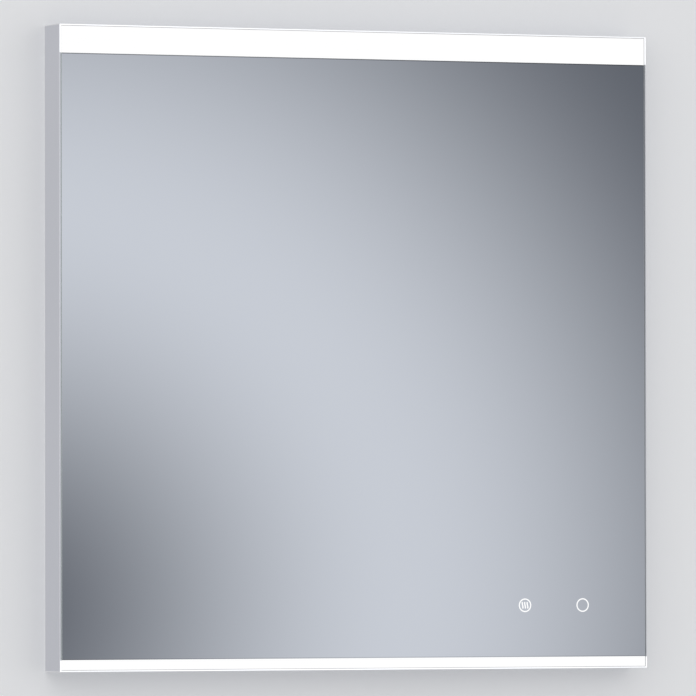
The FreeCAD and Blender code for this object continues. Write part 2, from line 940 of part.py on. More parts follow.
def rear_cover():
    """Sheet cover with pressed upright beads, vents and the openings for the supply."""
    body = new_body("rear_cover")
    plate = front_sketch(body, "plate", cover_back)
    inset = size.frame_wall + size.back_lip + size.cover_gap
    add_box(plate, -half + inset, bottom + inset, half - inset, top - inset)
    pad(body, plate, size.cover_thick)
    bead_high = top - size.bead_drop
    bead_low = bottom + size.bead_rise
    bead_length = bead_high - bead_low
    bead_middle = (bead_high + bead_low) / 2
    trim = size.bead_width / 3
    for side, name in ((-1, "left"), (1, "right")):
        ridges = front_sketch(body, f"{name}_ridges", cover_back)
        hollows = front_sketch(body, f"{name}_hollows", cover_front)
        for step in range(int(size.bead_count.value)):
            across = side * (size.bead_first + step * size.bead_step)
            add_trimmed(ridges, across, bead_middle, size.bead_width, bead_length, trim)
            add_trimmed(hollows, across, bead_middle, size.bead_width - 2 * size.cover_thick,
                        bead_length - 2 * size.cover_thick, trim - size.cover_thick / 2)
        pad(body, ridges, size.bead_tall, away=False)
        cut(body, hollows, size.bead_tall, away=False)
        vent = front_sketch(body, f"{name}_vent", cover_back)
        first = side * size.vent_place - (size.vent_count - 1) / 2 * size.vent_pitch
        add_centred_box(vent, first, vent_z, size.vent_width, size.vent_length)
        repeat(body, cut(body, vent, size.cover_thick), vent, size.vent_pitch, size.vent_count)
    edge_screws = [place for row in COVER_SCREWS.values() for place in row]
    edge_hole = size.screw_radius + size.screw_clear
    groups = {
        "edge": (edge_screws, edge_hole),
        "hook": (HOOK_SCREWS, hook_hole),
        "bumper": (BUMPERS, bumper_hole),
        "lid": (LID_SCREWS, lid_hole),
        "driver": (DRIVER_SCREWS, driver_hole),
    }
    for name, (places, radius) in groups.items():
        drill(body, f"{name}_holes", places, radius, cover_back, size.cover_thick)
    inlet = front_sketch(body, "inlet", cover_back)
    add_circle(inlet, gland_x, inlet_z, size.gland_thread_radius + size.gland_hole_clear)
    add_trimmed(inlet, lid_x, inlet_z, size.opening_width, size.opening_height, size.opening_corner)
    cut(body, inlet, size.cover_thick)


def screws(label, places, head_depth, head_radius, head_tall, radius, length):
    """Pan-head screws driven from the wall side, with their heads on head_depth."""
    body = new_body(label)
    raise_pegs(body, "heads", places, head_radius, head_depth, head_tall, away=False)
    raise_pegs(body, "shanks", places, radius, head_depth, length)


rear_cover()
screws("cover_screws", [place for row in COVER_SCREWS.values() for place in row], cover_back,
       size.screw_head_radius, size.screw_head_tall, size.screw_radius, size.screw_length)


# ---------------------------------------------------------------- cleat

def hook_rail():
    """Rail on the mirror's back whose lip drops behind the wall rail's lip."""
    body = new_body("hook_rail")
    section = new_sketch(body, "section", "YZ_Plane")
    wall = size.rail_wall
    lip_back = size.hook_lip_depth
    lip_front = lip_back + wall
    foot = hook_top - size.hook_lip_drop
    high = hook_top + wall + size.hook_base
    corners = [(lip_back, foot), (lip_front, foot), (lip_front, hook_top), (cover_back, hook_top)]
    corners += [(cover_back, high), (cover_back - wall, high)]
    corners += [(cover_back - wall, hook_top + wall), (lip_back, hook_top + wall)]
    add_loop(section, [(-depth, up) for depth, up in corners])
    pad(body, section, size.hook_length, both_ways=True)
    drill(body, "screw_holes", HOOK_SCREWS, hook_hole, cover_back - wall, wall)


def wall_rail():
    """Rail that is screwed to the wall through two level slots."""
    body = new_body("wall_rail")
    section = new_sketch(body, "section", "YZ_Plane")
    wall = size.rail_wall
    low = -size.wall_rail_down
    web = size.wall_rail_up
    corners = [(as_size(0), low), (wall, low), (wall, web - wall), (wall_rail_face, web - wall)]
    corners += [(wall_rail_face, hook_top), (size.wall_rail_stand, hook_top)]
    corners += [(size.wall_rail_stand, web), (as_size(0), web)]
    add_loop(section, [(-depth, up) for depth, up in corners])
    pad(body, section, size.wall_rail_length, both_ways=True)
    slots = front_sketch(body, "slots")
    for side in (-1, 1):
        add_slot(slots, side * size.slot_spacing / 2, 0, size.slot_length, size.slot_radius)
    cut(body, slots, wall)


def hook_nuts():
    body = new_body("hook_nuts")
    start = cover_ledge_front + size.cross_wall
    blanks = front_sketch(body, "blanks", start)
    for across, up in HOOK_SCREWS:
        add_hexagon(blanks, across, up, size.nut_flats)
    pad(body, blanks, size.nut_tall)
    drill(body, "threads", HOOK_SCREWS, size.hook_screw_radius + size.key_clear, start, size.nut_tall)


def wall_bumpers():
    """Rubber feet that keep the lower edge off the wall, each with a well for its screw."""
    body = new_body("wall_bumpers")
    feet = front_sketch(body, "feet")
    for across, up in BUMPERS:
        add_circle(feet, across, up, size.bumper_radius)
    pad(body, feet, cover_back)
    break_edges(body, size.bumper_edge, at_depth(0))
    drill(body, "wells", BUMPERS, size.bumper_well_radius, 0, size.bumper_well)
    drill(body, "holes", BUMPERS, bumper_hole, size.bumper_well, cover_back - size.bumper_well)


hook_rail()
wall_rail()
screws("hook_screws", HOOK_SCREWS, cover_back - size.rail_wall, size.hook_head_radius,
       size.hook_head_tall, size.hook_screw_radius, size.hook_screw_length)
hook_nuts()
wall_bumpers()
screws("bumper_screws", BUMPERS, size.bumper_well, size.bumper_head_radius,
       size.bumper_head_tall, size.bumper_screw_radius, size.bumper_screw_length)


# ---------------------------------------------------------------- terminal box and gland

box_front = cover_front + size.box_deep
box_floor = box_front - size.box_wall
lead_hole = size.lead_radius + size.lead_clear
driver_lead_z = inlet_z + size.driver_lead_rise
demister_feed_x = size.demister_feed_place


def terminal_box():
    """Open-backed box on the inside of the cover, with bosses for the lid's screws."""
    body = new_body("terminal_box")
    shell = front_sketch(body, "shell", cover_front)
    add_trimmed(shell, 0, inlet_z, size.box_width, size.box_height, size.box_corner)
    pad(body, shell, size.box_deep)
    hollow = front_sketch(body, "hollow", cover_front)
    wall = size.box_wall
    add_trimmed(hollow, 0, inlet_z, size.box_width - 2 * wall,
                size.box_height - 2 * wall, size.box_corner - wall / 2)
    cut(body, hollow, size.box_deep - wall)
    raise_pegs(body, "bosses", LID_SCREWS, size.boss_radius, cover_front, size.box_deep - wall)
    drill(body, "boss_holes", LID_SCREWS, lid_hole, cover_front, size.lid_screw_length)
    right = new_sketch(body, "mains_hole", "YZ_Plane", size.box_width / 2)
    add_peg(right, -size.lead_middle, driver_lead_z, lead_hole)
    cut(body, right, wall, away=False)
    low = new_sketch(body, "demister_hole", "XY_Plane", inlet_z - size.box_height / 2)
    add_peg(low, demister_feed_x, -size.lead_middle, lead_hole)
    cut(body, low, wall)


def terminal_block():
    """Screw terminals on the box's floor: wire ways through, screw wells from the wall side."""
    body = new_body("terminal_block")
    block = front_sketch(body, "block", box_floor - size.block_tall)
    add_centred_box(block, lid_x, inlet_z, size.block_width, size.block_height)
    pad(body, block, size.block_tall)
    ways = centred_row(lid_x, size.block_width / size.block_ways, size.block_ways)
    middle = box_floor - size.block_tall / 2 + size.block_wire_radius / 2
    wires = new_sketch(body, "wires", "XY_Plane", inlet_z - size.block_height / 2)
    for across in ways:
        add_peg(wires, across, -middle, size.block_wire_radius)
    cut(body, wires, size.block_height)
    wells = [(across, inlet_z + side * size.block_height / 4) for across in ways for side in (-1, 1)]
    start = box_floor - size.block_tall
    drill(body, "wells", wells, size.block_well_radius, start, size.block_well_deep)


def terminal_lid():
    body = new_body("terminal_lid")
    plate = front_sketch(body, "plate", cover_back - size.lid_thick)
    add_trimmed(plate, lid_x, inlet_z, size.lid_width, size.lid_height, size.opening_corner)
    pad(body, plate, size.lid_thick)
    drill(body, "holes", LID_SCREWS, lid_hole, cover_back - size.lid_thick, size.lid_thick)


GLAND_SIDES = 12
bore = size.cable_bore / 2
seal_radius = bore + size.gland_seal_wall
gland_face = cover_back - size.gland_flange
gland_mouth = gland_face - size.gland_outer_length


def gland_bore(body, name, depth, length):
    """Round bore for the cable on the gland's axis."""
    ring = front_sketch(body, name, depth)
    add_circle(ring, gland_x, inlet_z, bore)
    cut(body, ring, length)


def gland_seat(body, name, radius, depth, length):
    """Wider hole on the gland's axis, with twelve sides like the piece that it takes."""
    ring = front_sketch(body, name, depth)
    add_peg(ring, gland_x, inlet_z, radius, GLAND_SIDES)
    cut(body, ring, length)


def gland_body():
    """Threaded tube with a hexagon flange, bored for the cable and counterbored for the seal."""
    body = new_body("gland_body")
    flange = front_sketch(body, "flange", gland_face)
    add_hexagon(flange, gland_x, inlet_z, size.gland_flats)
    pad(body, flange, size.gland_flange)
    tube = front_sketch(body, "tube", gland_mouth)
    add_peg(tube, gland_x, inlet_z, size.gland_thread_radius, GLAND_SIDES)
    length = cover_back + size.gland_inner_length - gland_mouth
    pad(body, tube, length)
    seat_radius = seal_radius + size.key_clear
    gland_seat(body, "seal_seat", seat_radius, gland_mouth, size.gland_seal_length)
    start = gland_mouth + size.gland_seal_length
    gland_bore(body, "bore", start, length - size.gland_seal_length)


def gland_locknut():
    """Hexagon nut on the tube inside the cover."""
    body = new_body("gland_locknut")
    blank = front_sketch(body, "blank", cover_front)
    add_hexagon(blank, gland_x, inlet_z, size.gland_flats)
    pad(body, blank, size.locknut_tall)
    thread = size.gland_thread_radius + size.key_clear
    gland_seat(body, "thread", thread, cover_front, size.locknut_tall)


def gland_seal():
    """Rubber sleeve between the tube's mouth and the cable."""
    body = new_body("gland_seal")
    sleeve = front_sketch(body, "sleeve", gland_mouth)
    add_peg(sleeve, gland_x, inlet_z, seal_radius, GLAND_SIDES)
    pad(body, sleeve, size.gland_seal_length)
    gland_bore(body, "bore", gland_mouth, size.gland_seal_length)


def gland_nut():
    """Cap nut that squeezes the seal."""
    body = new_body("gland_nut")
    start = gland_mouth - size.gland_nut_wall
    cap = front_sketch(body, "cap", start)
    add_peg(cap, gland_x, inlet_z, size.gland_nut_radius, GLAND_SIDES)
    pad(body, cap, gland_face - start)
    gland_bore(body, "bore", start, size.gland_nut_wall)
    thread = size.gland_thread_radius + size.key_clear
    gland_seat(body, "thread", thread, gland_mouth, gland_face - gland_mouth)


terminal_box()
terminal_block()
terminal_lid()
screws("terminal_lid_screws", LID_SCREWS, cover_back - size.lid_thick, size.lid_head_radius,
       size.lid_head_tall, size.lid_screw_radius, size.lid_screw_length)
gland_body()
gland_locknut()
gland_seal()
gland_nut()


# ---------------------------------------------------------------- driver

driver_front = cover_front + size.driver_deep
driver_end = size.driver_length / 2
driver_board_back = cover_front + size.driver_wall + size.driver_board_gap
driver_board_front = driver_board_back + size.driver_board_thick


def driver_case():
    """Moulded tray with fixing ears, board posts and a lead hole in each end."""
    body = new_body("driver_case")
    ears = front_sketch(body, "ears", cover_front)
    span = size.driver_length + 2 * size.driver_ear
    add_trimmed(ears, driver_x, inlet_z, span, size.driver_ear_width, size.driver_corner)
    pad(body, ears, size.driver_ear_thick)
    shell = front_sketch(body, "shell", cover_front)
    add_trimmed(shell, driver_x, inlet_z, size.driver_length, size.driver_width,
                size.driver_corner)
    pad(body, shell, size.driver_deep)
    wall = size.driver_wall
    hollow = front_sketch(body, "hollow", cover_front + wall)
    add_trimmed(hollow, driver_x, inlet_z, size.driver_length - 2 * wall,
                size.driver_width - 2 * wall, size.driver_corner - wall / 2)
    cut(body, hollow, size.driver_deep - wall)
    across = driver_end - size.driver_post_inset
    up = size.driver_width / 2 - size.driver_post_inset
    posts = [(driver_x + side * across, inlet_z + level * up)
             for side in (-1, 1) for level in (-1, 1)]
    raise_pegs(body, "posts", posts, size.driver_post_radius, cover_front + wall, size.driver_board_gap)
    drill(body, "ear_holes", DRIVER_SCREWS, driver_hole, cover_front, size.driver_ear_thick)
    for side, name in ((-1, "left"), (1, "right")):
        hole = new_sketch(body, f"{name}_lead", "YZ_Plane", driver_x + side * driver_end)
        add_peg(hole, -size.lead_middle, driver_lead_z, lead_hole)
        cut(body, hole, wall, away=side < 0)


def driver_lid():
    """Lid with a locating rim and cooling slots."""
    body = new_body("driver_lid")
    rim = front_sketch(body, "rim", driver_front - size.driver_lid_rim)
    wall = size.driver_wall
    length = size.driver_length - 2 * wall - 2 * size.key_clear
    width = size.driver_width - 2 * wall - 2 * size.key_clear
    add_trimmed(rim, driver_x, inlet_z, length, width, size.driver_corner - wall / 2)
    pad(body, rim, size.driver_lid_rim)
    plate = front_sketch(body, "plate", driver_front)
    add_trimmed(plate, driver_x, inlet_z, size.driver_length, size.driver_width,
                size.driver_corner)
    pad(body, plate, size.driver_lid_thick)
    hollow = front_sketch(body, "hollow", driver_front - size.driver_lid_rim)
    add_centred_box(hollow, driver_x, inlet_z, length - 2 * wall, width - 2 * wall)
    cut(body, hollow, size.driver_lid_rim)
    slot = front_sketch(body, "slot", driver_front)
    first = driver_x - (size.driver_slot_count - 1) / 2 * size.driver_slot_pitch
    add_centred_box(slot, first, inlet_z, size.driver_slot_width, size.driver_slot_length)
    opened = cut(body, slot, size.driver_lid_thick)
    repeat(body, opened, slot, size.driver_slot_pitch, size.driver_slot_count)


def driver_board():
    body = new_body("driver_board")
    plate = front_sketch(body, "plate", driver_board_back)
    inset = size.driver_wall + size.driver_board_inset
    add_centred_box(plate, driver_x, inlet_z, size.driver_length - 2 * inset,
                    size.driver_width - 2 * inset)
    pad(body, plate, size.driver_board_thick)


def driver_components():
    """Transformer, capacitors, choke and finned heat sink, standing on the board."""
    body = new_body("driver_components")
    room = driver_front - size.driver_lid_rim - driver_board_front
    blocks = front_sketch(body, "blocks", driver_board_front)
    unit = size.driver_length / 30
    add_centred_box(blocks, driver_x, inlet_z, 5 * unit, 5 * unit)
    add_centred_box(blocks, driver_x + 7 * unit, inlet_z + 2 * unit, 5 * unit, unit / 2)
    add_centred_box(blocks, driver_x - 10.5 * unit, inlet_z - 2 * unit, 2 * unit, 3 * unit)
    pad(body, blocks, room * 0.85)
    cans = front_sketch(body, "cans", driver_board_front)
    add_peg(cans, driver_x - 6 * unit, inlet_z, 1.4 * unit)
    add_peg(cans, driver_x + 5.5 * unit, inlet_z - 2 * unit, unit)
    add_peg(cans, driver_x + 8.5 * unit, inlet_z - 2 * unit, unit)
    pad(body, cans, room * 0.75)


driver_case()
driver_lid()
driver_board()
driver_components()


def driver_screws():
    """Pan-head screws driven from inside through the ears into the cover."""
    body = new_body("driver_screws")
    start = cover_front + size.driver_ear_thick
    raise_pegs(body, "heads", DRIVER_SCREWS, size.screw_head_radius, start, size.screw_head_tall)
    raise_pegs(body, "shanks", DRIVER_SCREWS, size.driver_screw_radius, start,
               size.driver_screw_length, away=False)


driver_screws()


# ---------------------------------------------------------------- touch sensors and demister

sensor_front = coating_back - size.sensor_gap
sensor_back = sensor_front - size.sensor_deep
sensor_board_back = sensor_back + size.sensor_wall + size.sensor_board_place
sensor_board_front = sensor_board_back + size.sensor_board_thick
sensor_edge = size.sensor_side / 2
sensor_inside = size.sensor_side - 2 * size.sensor_wall
light_lead_z = sensor_z + sensor_edge / 2
strip_lead_z = sensor_z - sensor_edge / 2
feed_lead_x = light_sensor_x + sensor_edge / 2
sensor_lead_x = demister_sensor_x - size.sensor_lead_place


def sensor_case(label, across, side_leads, top_lead):
    """Open-fronted case stuck to the back of the glass, with corner posts for its board."""
    body = new_body(label)
    shell = front_sketch(body, "shell", sensor_back)
    add_trimmed(shell, across, sensor_z, size.sensor_side, size.sensor_side, size.sensor_corner)
    pad(body, shell, size.sensor_deep)
    hollow = front_sketch(body, "hollow", sensor_back + size.sensor_wall)
    corner = size.sensor_corner - size.sensor_wall / 2
    add_trimmed(hollow, across, sensor_z, sensor_inside, sensor_inside, corner)
    cut(body, hollow, size.sensor_deep - size.sensor_wall)
    posts = front_sketch(body, "posts", sensor_back + size.sensor_wall)
    reach = sensor_inside / 2 - size.sensor_post / 2
    for side in (-1, 1):
        for level in (-1, 1):
            add_centred_box(posts, across + side * reach, sensor_z + level * reach,
                            size.sensor_post, size.sensor_post)
    pad(body, posts, size.sensor_board_place)
    for side, level, name in side_leads:
        hole = new_sketch(body, f"{name}_lead", "YZ_Plane", across + side * sensor_edge)
        add_peg(hole, -size.lead_front, level, lead_hole)
        cut(body, hole, size.sensor_wall + size.sensor_post, away=side < 0)
    hole = new_sketch(body, "top_lead", "XY_Plane", sensor_z + sensor_edge)
    add_peg(hole, top_lead, -size.lead_front, lead_hole)
    cut(body, hole, size.sensor_wall + size.sensor_post, away=False)


def sensor_pair(label, start, height, side_length):
    """The same square piece in both sensors."""
    body = new_body(label)
    squares = front_sketch(body, "squares", start)
    corner = size.sensor_corner - size.sensor_wall / 2
    for across in (demister_sensor_x, light_sensor_x):
        add_trimmed(squares, across, sensor_z, side_length, side_length, corner)
    pad(body, squares, height)
    return body


sensor_case("demister_sensor_case", demister_sensor_x, [(-1, sensor_z, "left")], sensor_lead_x)
sensor_case("light_sensor_case", light_sensor_x,
            [(1, light_lead_z, "light"), (1, strip_lead_z, "strip")], feed_lead_x)
board_side = sensor_inside - 2 * size.sensor_fit
sensor_pair("sensor_boards", sensor_board_back, size.sensor_board_thick, board_side)
windows = sensor_pair("icon_windows", sensor_board_front, sensor_front - sensor_board_front, board_side)
window_hollow = front_sketch(windows, "hollow", sensor_board_front)
for sensor_x in (demister_sensor_x, light_sensor_x):
    window_inside = board_side - 2 * size.window_wall
    add_centred_box(window_hollow, sensor_x, sensor_z, window_inside, window_inside)
cut(windows, window_hollow, sensor_front - sensor_board_front - size.window_thick)

demister_front = coating_back - size.demister_gap
demister_back = demister_front - size.demister_thick
demister_low = demister_z - size.demister_height / 2
tab_low = demister_low + size.demister_tab_inset
tab_middle = demister_back - size.demister_tab_thick / 2


def demister_pad():
    """Heating film on the silver's back, with the joint where its lead is soldered."""
    body = new_body("demister_pad")
    film = front_sketch(body, "film", demister_back)
    add_trimmed(film, 0, demister_z, size.demister_width, size.demister_height, size.demister_corner)
    pad(body, film, size.demister_thick)
    tab = front_sketch(body, "tab", demister_back)
    half_tab = size.demister_tab_width / 2
    add_box(tab, size.demister_tab_place - half_tab, tab_low, size.demister_tab_place + half_tab,
            tab_low + size.demister_tab_height)
    pad(body, tab, size.demister_tab_thick, away=False)


demister_pad()


# ---------------------------------------------------------------- leads

LEAD_SIDES = 6


def lead_section(start, along):
    """Face across a lead at its start, with LEAD_SIDES sides."""
    radius = size.lead_radius.value
    sideways = along.cross(FreeCAD.Vector(0.3, 0.5, 0.8)).normalize()
    upwards = along.cross(sideways)
    rim = []
    for step in range(LEAD_SIDES + 1):
        turn = step * 2 * math.pi / LEAD_SIDES
        rim.append(start + (sideways * math.cos(turn) + upwards * math.sin(turn)) * radius)
    return Part.Face(Part.makePolygon(rim))


def lead(label, route):
    """Lead made of straight runs and tangent bends through the route's points.

    Each point is (across, depth, up). A bend takes up to 0.45 of the shorter run beside it.
    """
    points = []
    for across, depth, up in route:
        across, depth, up = map(as_size, (across, depth, up))
        points.append(FreeCAD.Vector(across.value, -depth.value, up.value))
    section = lead_section(points[0], (points[1] - points[0]).normalize())
    area = section.Area
    pieces = []
    length = 0
    start = points[0]
    for before, corner, after in zip(points, points[1:], points[2:]):
        back = (before - corner).normalize()
        onward = (after - corner).normalize()
        trim = 0.45 * min((before - corner).Length, (after - corner).Length)
        turn = math.pi - back.getAngle(onward)
        radius = trim / math.tan(turn / 2)
        centre = corner + (back + onward).normalize() * (radius / math.cos(turn / 2))
        axis = onward.cross(back)
        run = corner + back * trim - start
        pieces.append(section.extrude(run))
        section.translate(run)
        pieces.append(section.revolve(centre, axis, math.degrees(turn)))
        section.rotate(centre, axis, math.degrees(turn))
        start = corner + onward * trim
        length += run.Length + radius * turn
    run = points[-1] - start
    pieces.append(section.extrude(run))
    length += run.Length
    whole = pieces[0].multiFuse(pieces[1:])
    if len(whole.Solids) != 1 or abs(whole.Volume / (area * length) - 1) > 1e-3:
        raise RuntimeError(f"{label} is {whole.Volume:.0f} in {len(whole.Solids)}, not {area * length:.0f}")
    made = doc.addObject("Part::Feature", label)
    made.Label = label
    made.Shape = whole.Solids[0]
    nodes.append(made)
    print(f"{label}: {length:.0f} mm long")


cover_lead = cover_front + size.lead_lift + size.lead_radius
upright_lead = half - channel_face - size.lead_lift - size.lead_radius
inner_upright_lead = upright_lead - 3 * size.lead_radius
strip_lead_depth = board_front + size.lead_lift + size.lead_radius
strip_lead_end = board_half - size.led_end_gap / 2
box_right = size.box_width / 2
box_low = inlet_z - size.box_height / 2
driver_left = driver_x - driver_end
driver_right = driver_x + driver_end
sensor_wall_in = size.sensor_wall + size.lead_in
rail_over = lower_rail_z + size.cross_width / 2
rail_top = size.upper_rail_place + size.cross_width / 2
top_strip_z = top - size.board_place
bottom_strip_z = bottom + size.board_place


def leads():
    lead("mains_lead", [
        (box_right - size.box_wall - size.lead_in, size.lead_middle, driver_lead_z),
        (driver_left + size.driver_wall + size.lead_in, size.lead_middle, driver_lead_z),
    ])
    lead("light_feed_lead", [
        (driver_right - size.driver_wall - size.lead_in, size.lead_middle, driver_lead_z),
        (feed_lead_x, size.lead_middle, driver_lead_z),
        (feed_lead_x, cover_lead, driver_lead_z - size.lead_climb),
        (feed_lead_x, cover_lead, rail_over + size.lead_over_rail + size.lead_climb),
        (feed_lead_x, size.lead_front, rail_over + size.lead_over_rail),
        (feed_lead_x, size.lead_front, sensor_z + sensor_edge - sensor_wall_in),
    ])
    lead("demister_feed_lead", [
        (demister_feed_x, size.lead_middle, box_low + size.box_wall + size.lead_in),
        (demister_feed_x, size.lead_middle, box_low - size.lead_drop),
        (demister_feed_x, cover_lead, box_low - 2 * size.lead_drop),
        (demister_feed_x, cover_lead, rail_over + size.lead_over_rail + size.lead_climb),
        (demister_feed_x, size.lead_front, rail_over + size.lead_over_rail),
        (demister_feed_x, size.lead_front, sensor_z),
        (demister_sensor_x - sensor_edge + sensor_wall_in, size.lead_front, sensor_z),
    ])
    lead("demister_lead", [
        (sensor_lead_x, size.lead_front, sensor_z + sensor_edge - sensor_wall_in),
        (sensor_lead_x, size.lead_front, rail_over + size.lead_over_rail),
        (size.demister_tab_place, tab_middle, tab_low - size.lead_drop),
        (size.demister_tab_place, tab_middle, tab_low),
    ])
    lead("top_light_lead", [
        (light_sensor_x + sensor_edge - sensor_wall_in, size.lead_front, light_lead_z),
        (upright_lead, size.lead_front, light_lead_z),
        (upright_lead, size.lead_front, rail_top + size.lead_over_rail / 2),
        (upright_lead, strip_lead_depth, top_strip_z - size.strip_lead_climb),
        (upright_lead, strip_lead_depth, top_strip_z),
        (strip_lead_end, strip_lead_depth, top_strip_z),
    ])
    lead("bottom_light_lead", [
        (light_sensor_x + sensor_edge - sensor_wall_in, size.lead_front, strip_lead_z),
        (inner_upright_lead, size.lead_front, strip_lead_z),
        (inner_upright_lead, strip_lead_depth, bottom_strip_z),
        (strip_lead_end, strip_lead_depth, bottom_strip_z),
    ])


leads()


def lead_clips():
    """Saddles that hold the leads on the cover and along the right upright."""
    body = new_body("lead_clips")
    outer = size.lead_radius + size.clip_wall
    low = bottom + size.clip_rise
    high = top - size.clip_drop
    levels = [low, (low + high) / 2, high]
    for index, level in enumerate(levels):
        block = new_sketch(body, f"upright_{index}", "XY_Plane", level)
        add_box(block, upright_lead - outer, -size.lead_front - outer, half - channel_face,
                -size.lead_front + outer)
        add_peg(block, upright_lead, -size.lead_front, lead_hole)
        pad(body, block, size.clip_length)
    level = (rail_over + inlet_z) / 2
    block = new_sketch(body, "cover", "XY_Plane", level)
    for across in (demister_feed_x, feed_lead_x):
        add_box(block, across - outer, -cover_lead - outer, across + outer, -cover_front)
        add_peg(block, across, -cover_lead, lead_hole)
    pad(body, block, size.clip_length)


lead_clips()


# ---------------------------------------------------------------- check and write

doc.recompute()
for item in doc.Objects:
    if {"Invalid", "Error"} & set(item.State):
        raise RuntimeError(f"{item.Label} failed: {item.State}")
for node in nodes:
    if node.Shape.isNull() or not node.Shape.isValid():
        raise RuntimeError(f"{node.Label} has no valid shape")
for node in nodes:
    node.Shape.exportStep(f"parts/{node.Label}.step")
print(f"{len(nodes)} sub-parts written")
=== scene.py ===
# %% [markdown]
# The object is a lighted wall mirror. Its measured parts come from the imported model, in metres,
# with the wall as the plane y = 0 and the glass facing -Y. They could be typed in again here, but
# then they would drift from the drawing, so every place below is read from them.

# %% Load the measured mirror
import math

import bmesh
import bpy
from mathutils import Matrix, Vector


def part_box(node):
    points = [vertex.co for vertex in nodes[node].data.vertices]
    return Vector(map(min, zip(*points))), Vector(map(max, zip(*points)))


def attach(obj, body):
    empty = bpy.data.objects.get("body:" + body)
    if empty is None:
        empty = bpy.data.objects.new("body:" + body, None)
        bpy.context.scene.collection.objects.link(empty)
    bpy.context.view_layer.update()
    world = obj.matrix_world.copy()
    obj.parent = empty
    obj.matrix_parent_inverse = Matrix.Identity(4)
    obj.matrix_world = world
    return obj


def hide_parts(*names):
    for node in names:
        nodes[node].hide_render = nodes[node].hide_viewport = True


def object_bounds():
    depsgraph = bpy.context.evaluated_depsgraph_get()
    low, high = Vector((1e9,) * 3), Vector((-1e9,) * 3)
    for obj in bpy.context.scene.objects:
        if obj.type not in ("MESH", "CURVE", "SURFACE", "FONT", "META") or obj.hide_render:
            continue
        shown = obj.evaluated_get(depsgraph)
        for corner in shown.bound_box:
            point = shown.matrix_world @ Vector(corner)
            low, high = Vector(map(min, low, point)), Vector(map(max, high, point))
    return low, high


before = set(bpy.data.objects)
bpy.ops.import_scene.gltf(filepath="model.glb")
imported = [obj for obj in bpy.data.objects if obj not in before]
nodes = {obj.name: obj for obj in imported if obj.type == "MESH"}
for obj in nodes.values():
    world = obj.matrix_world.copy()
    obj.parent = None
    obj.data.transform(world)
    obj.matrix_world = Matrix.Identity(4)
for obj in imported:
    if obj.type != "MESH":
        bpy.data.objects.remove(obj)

MM = 0.001
HAIR = 0.05 * MM
cad_low, cad_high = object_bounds()

# %% [markdown]
# A product photograph like this one is taken from far away with a long lens, because nearly
# parallel rays keep the edges of a square square. The camera stands left of the mirror, so that the
# satin side of the frame shows too. A nearer camera could show more depth, but it would bend the
# square.

# %% Camera
PICTURE_SIDE = 696
SENSOR = 36
focal_pixels = 9037
camera_place = Vector((-4.515, -10.400, -0.524))
camera_turn = math.radians(-23.51)
camera_lift = math.radians(1.25)
camera_roll = math.radians(-0.09)

camera_data = bpy.data.cameras.new("camera")
camera_data.sensor_width = SENSOR
camera_data.lens = focal_pixels / PICTURE_SIDE * SENSOR
camera_data.clip_start = 0.1
camera_data.clip_end = 100
camera = bpy.data.objects.new("camera", camera_data)
aim = Matrix.Rotation(camera_turn, 4, "Z") @ Matrix.Rotation(math.pi / 2 + camera_lift, 4, "X")
camera.matrix_world = Matrix.Translation(camera_place) @ aim @ Matrix.Rotation(camera_roll, 4, "Z")
bpy.context.collection.objects.link(camera)
bpy.context.scene.camera = camera
print("lens:", round(camera_data.lens, 1), "mm")

# %% [markdown]
# Blender keeps a piece's shape in a mesh, and bmesh is the toolbox that edits it. Each piece below
# starts in an empty bmesh, is shaped by operators, and is then handed to an object that stays at
# the origin. These few helpers do that, so that each later cell only says how its piece is shaped.

# %% Helpers for pieces
facing_room = Matrix.Rotation(math.pi / 2, 4, "X")


def box_between(bm, low, high):
    """Block between two corners; gives its eight vertices."""
    middle = (Vector(low) + Vector(high)) / 2
    size = Vector(high) - Vector(low)
    place = Matrix.Translation(middle) @ Matrix.Diagonal((*size, 1))
    return bmesh.ops.create_cube(bm, size=1, matrix=place)["verts"]


def finish_piece(bm, name, materials, replaces=(), smooth=0, body="mirror"):
    """Turn a bmesh into an object on a body; bends below smooth degrees are shaded soft."""
    bmesh.ops.recalc_face_normals(bm, faces=bm.faces)
    mesh = bpy.data.meshes.new(name)
    bm.to_mesh(mesh)
    bm.free()
    for material in materials:
        mesh.materials.append(material)
    if smooth:
        mesh.shade_smooth()
        mesh.set_sharp_from_angle(angle=math.radians(smooth))
    piece = bpy.data.objects.new(name, mesh)
    bpy.context.collection.objects.link(piece)
    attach(piece, body)
    if replaces:
        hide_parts(*replaces)
    print(name, "has", len(mesh.polygons), "faces")
    return piece


print("helpers are ready")

# %% [markdown]
# Several parts are sets of equal solids, such as all the screws of the cover. What stands in for
# them has to sit exactly where they are. The places could be repeated by hand, but a walk over the
# joined faces of a part finds each solid and its corners.

# %% Helper that finds the solids of a part
join_within = MM / 1000


def merged_copy(name):
    """Bmesh of a measured part with its loose triangles joined up."""
    bm = bmesh.new()
    bm.from_mesh(nodes[name].data)
    bmesh.ops.remove_doubles(bm, verts=bm.verts, dist=join_within)
    return bm


def solids_of(name):
    """Lowest and highest corner of each separate solid in a part."""
    bm = merged_copy(name)
    waiting = set(bm.verts)
    corners = []
    while waiting:
        to_visit = [waiting.pop()]
        found = []
        while to_visit:
            vert = to_visit.pop()
            found.append(vert.co.copy())
            near = {edge.other_vert(vert) for edge in vert.link_edges} & waiting
            waiting -= near
            to_visit += near
        corners.append((Vector(min(place[axis] for place in found) for axis in range(3)),
                        Vector(max(place[axis] for place in found) for axis in range(3))))
    bm.free()
    return sorted(corners, key=lambda pair: tuple(pair[0]))


print("cover screws found:", len(solids_of("cover_screws")))

# %% [markdown]
# Finishes are shader nodes. A plain colour reads as plastic, so every finish gets a little of what
# the real one has: rolled streaks, grain, flow marks. Helpers place and join nodes, so that each
# finish below is a few lines that can be read as a recipe.

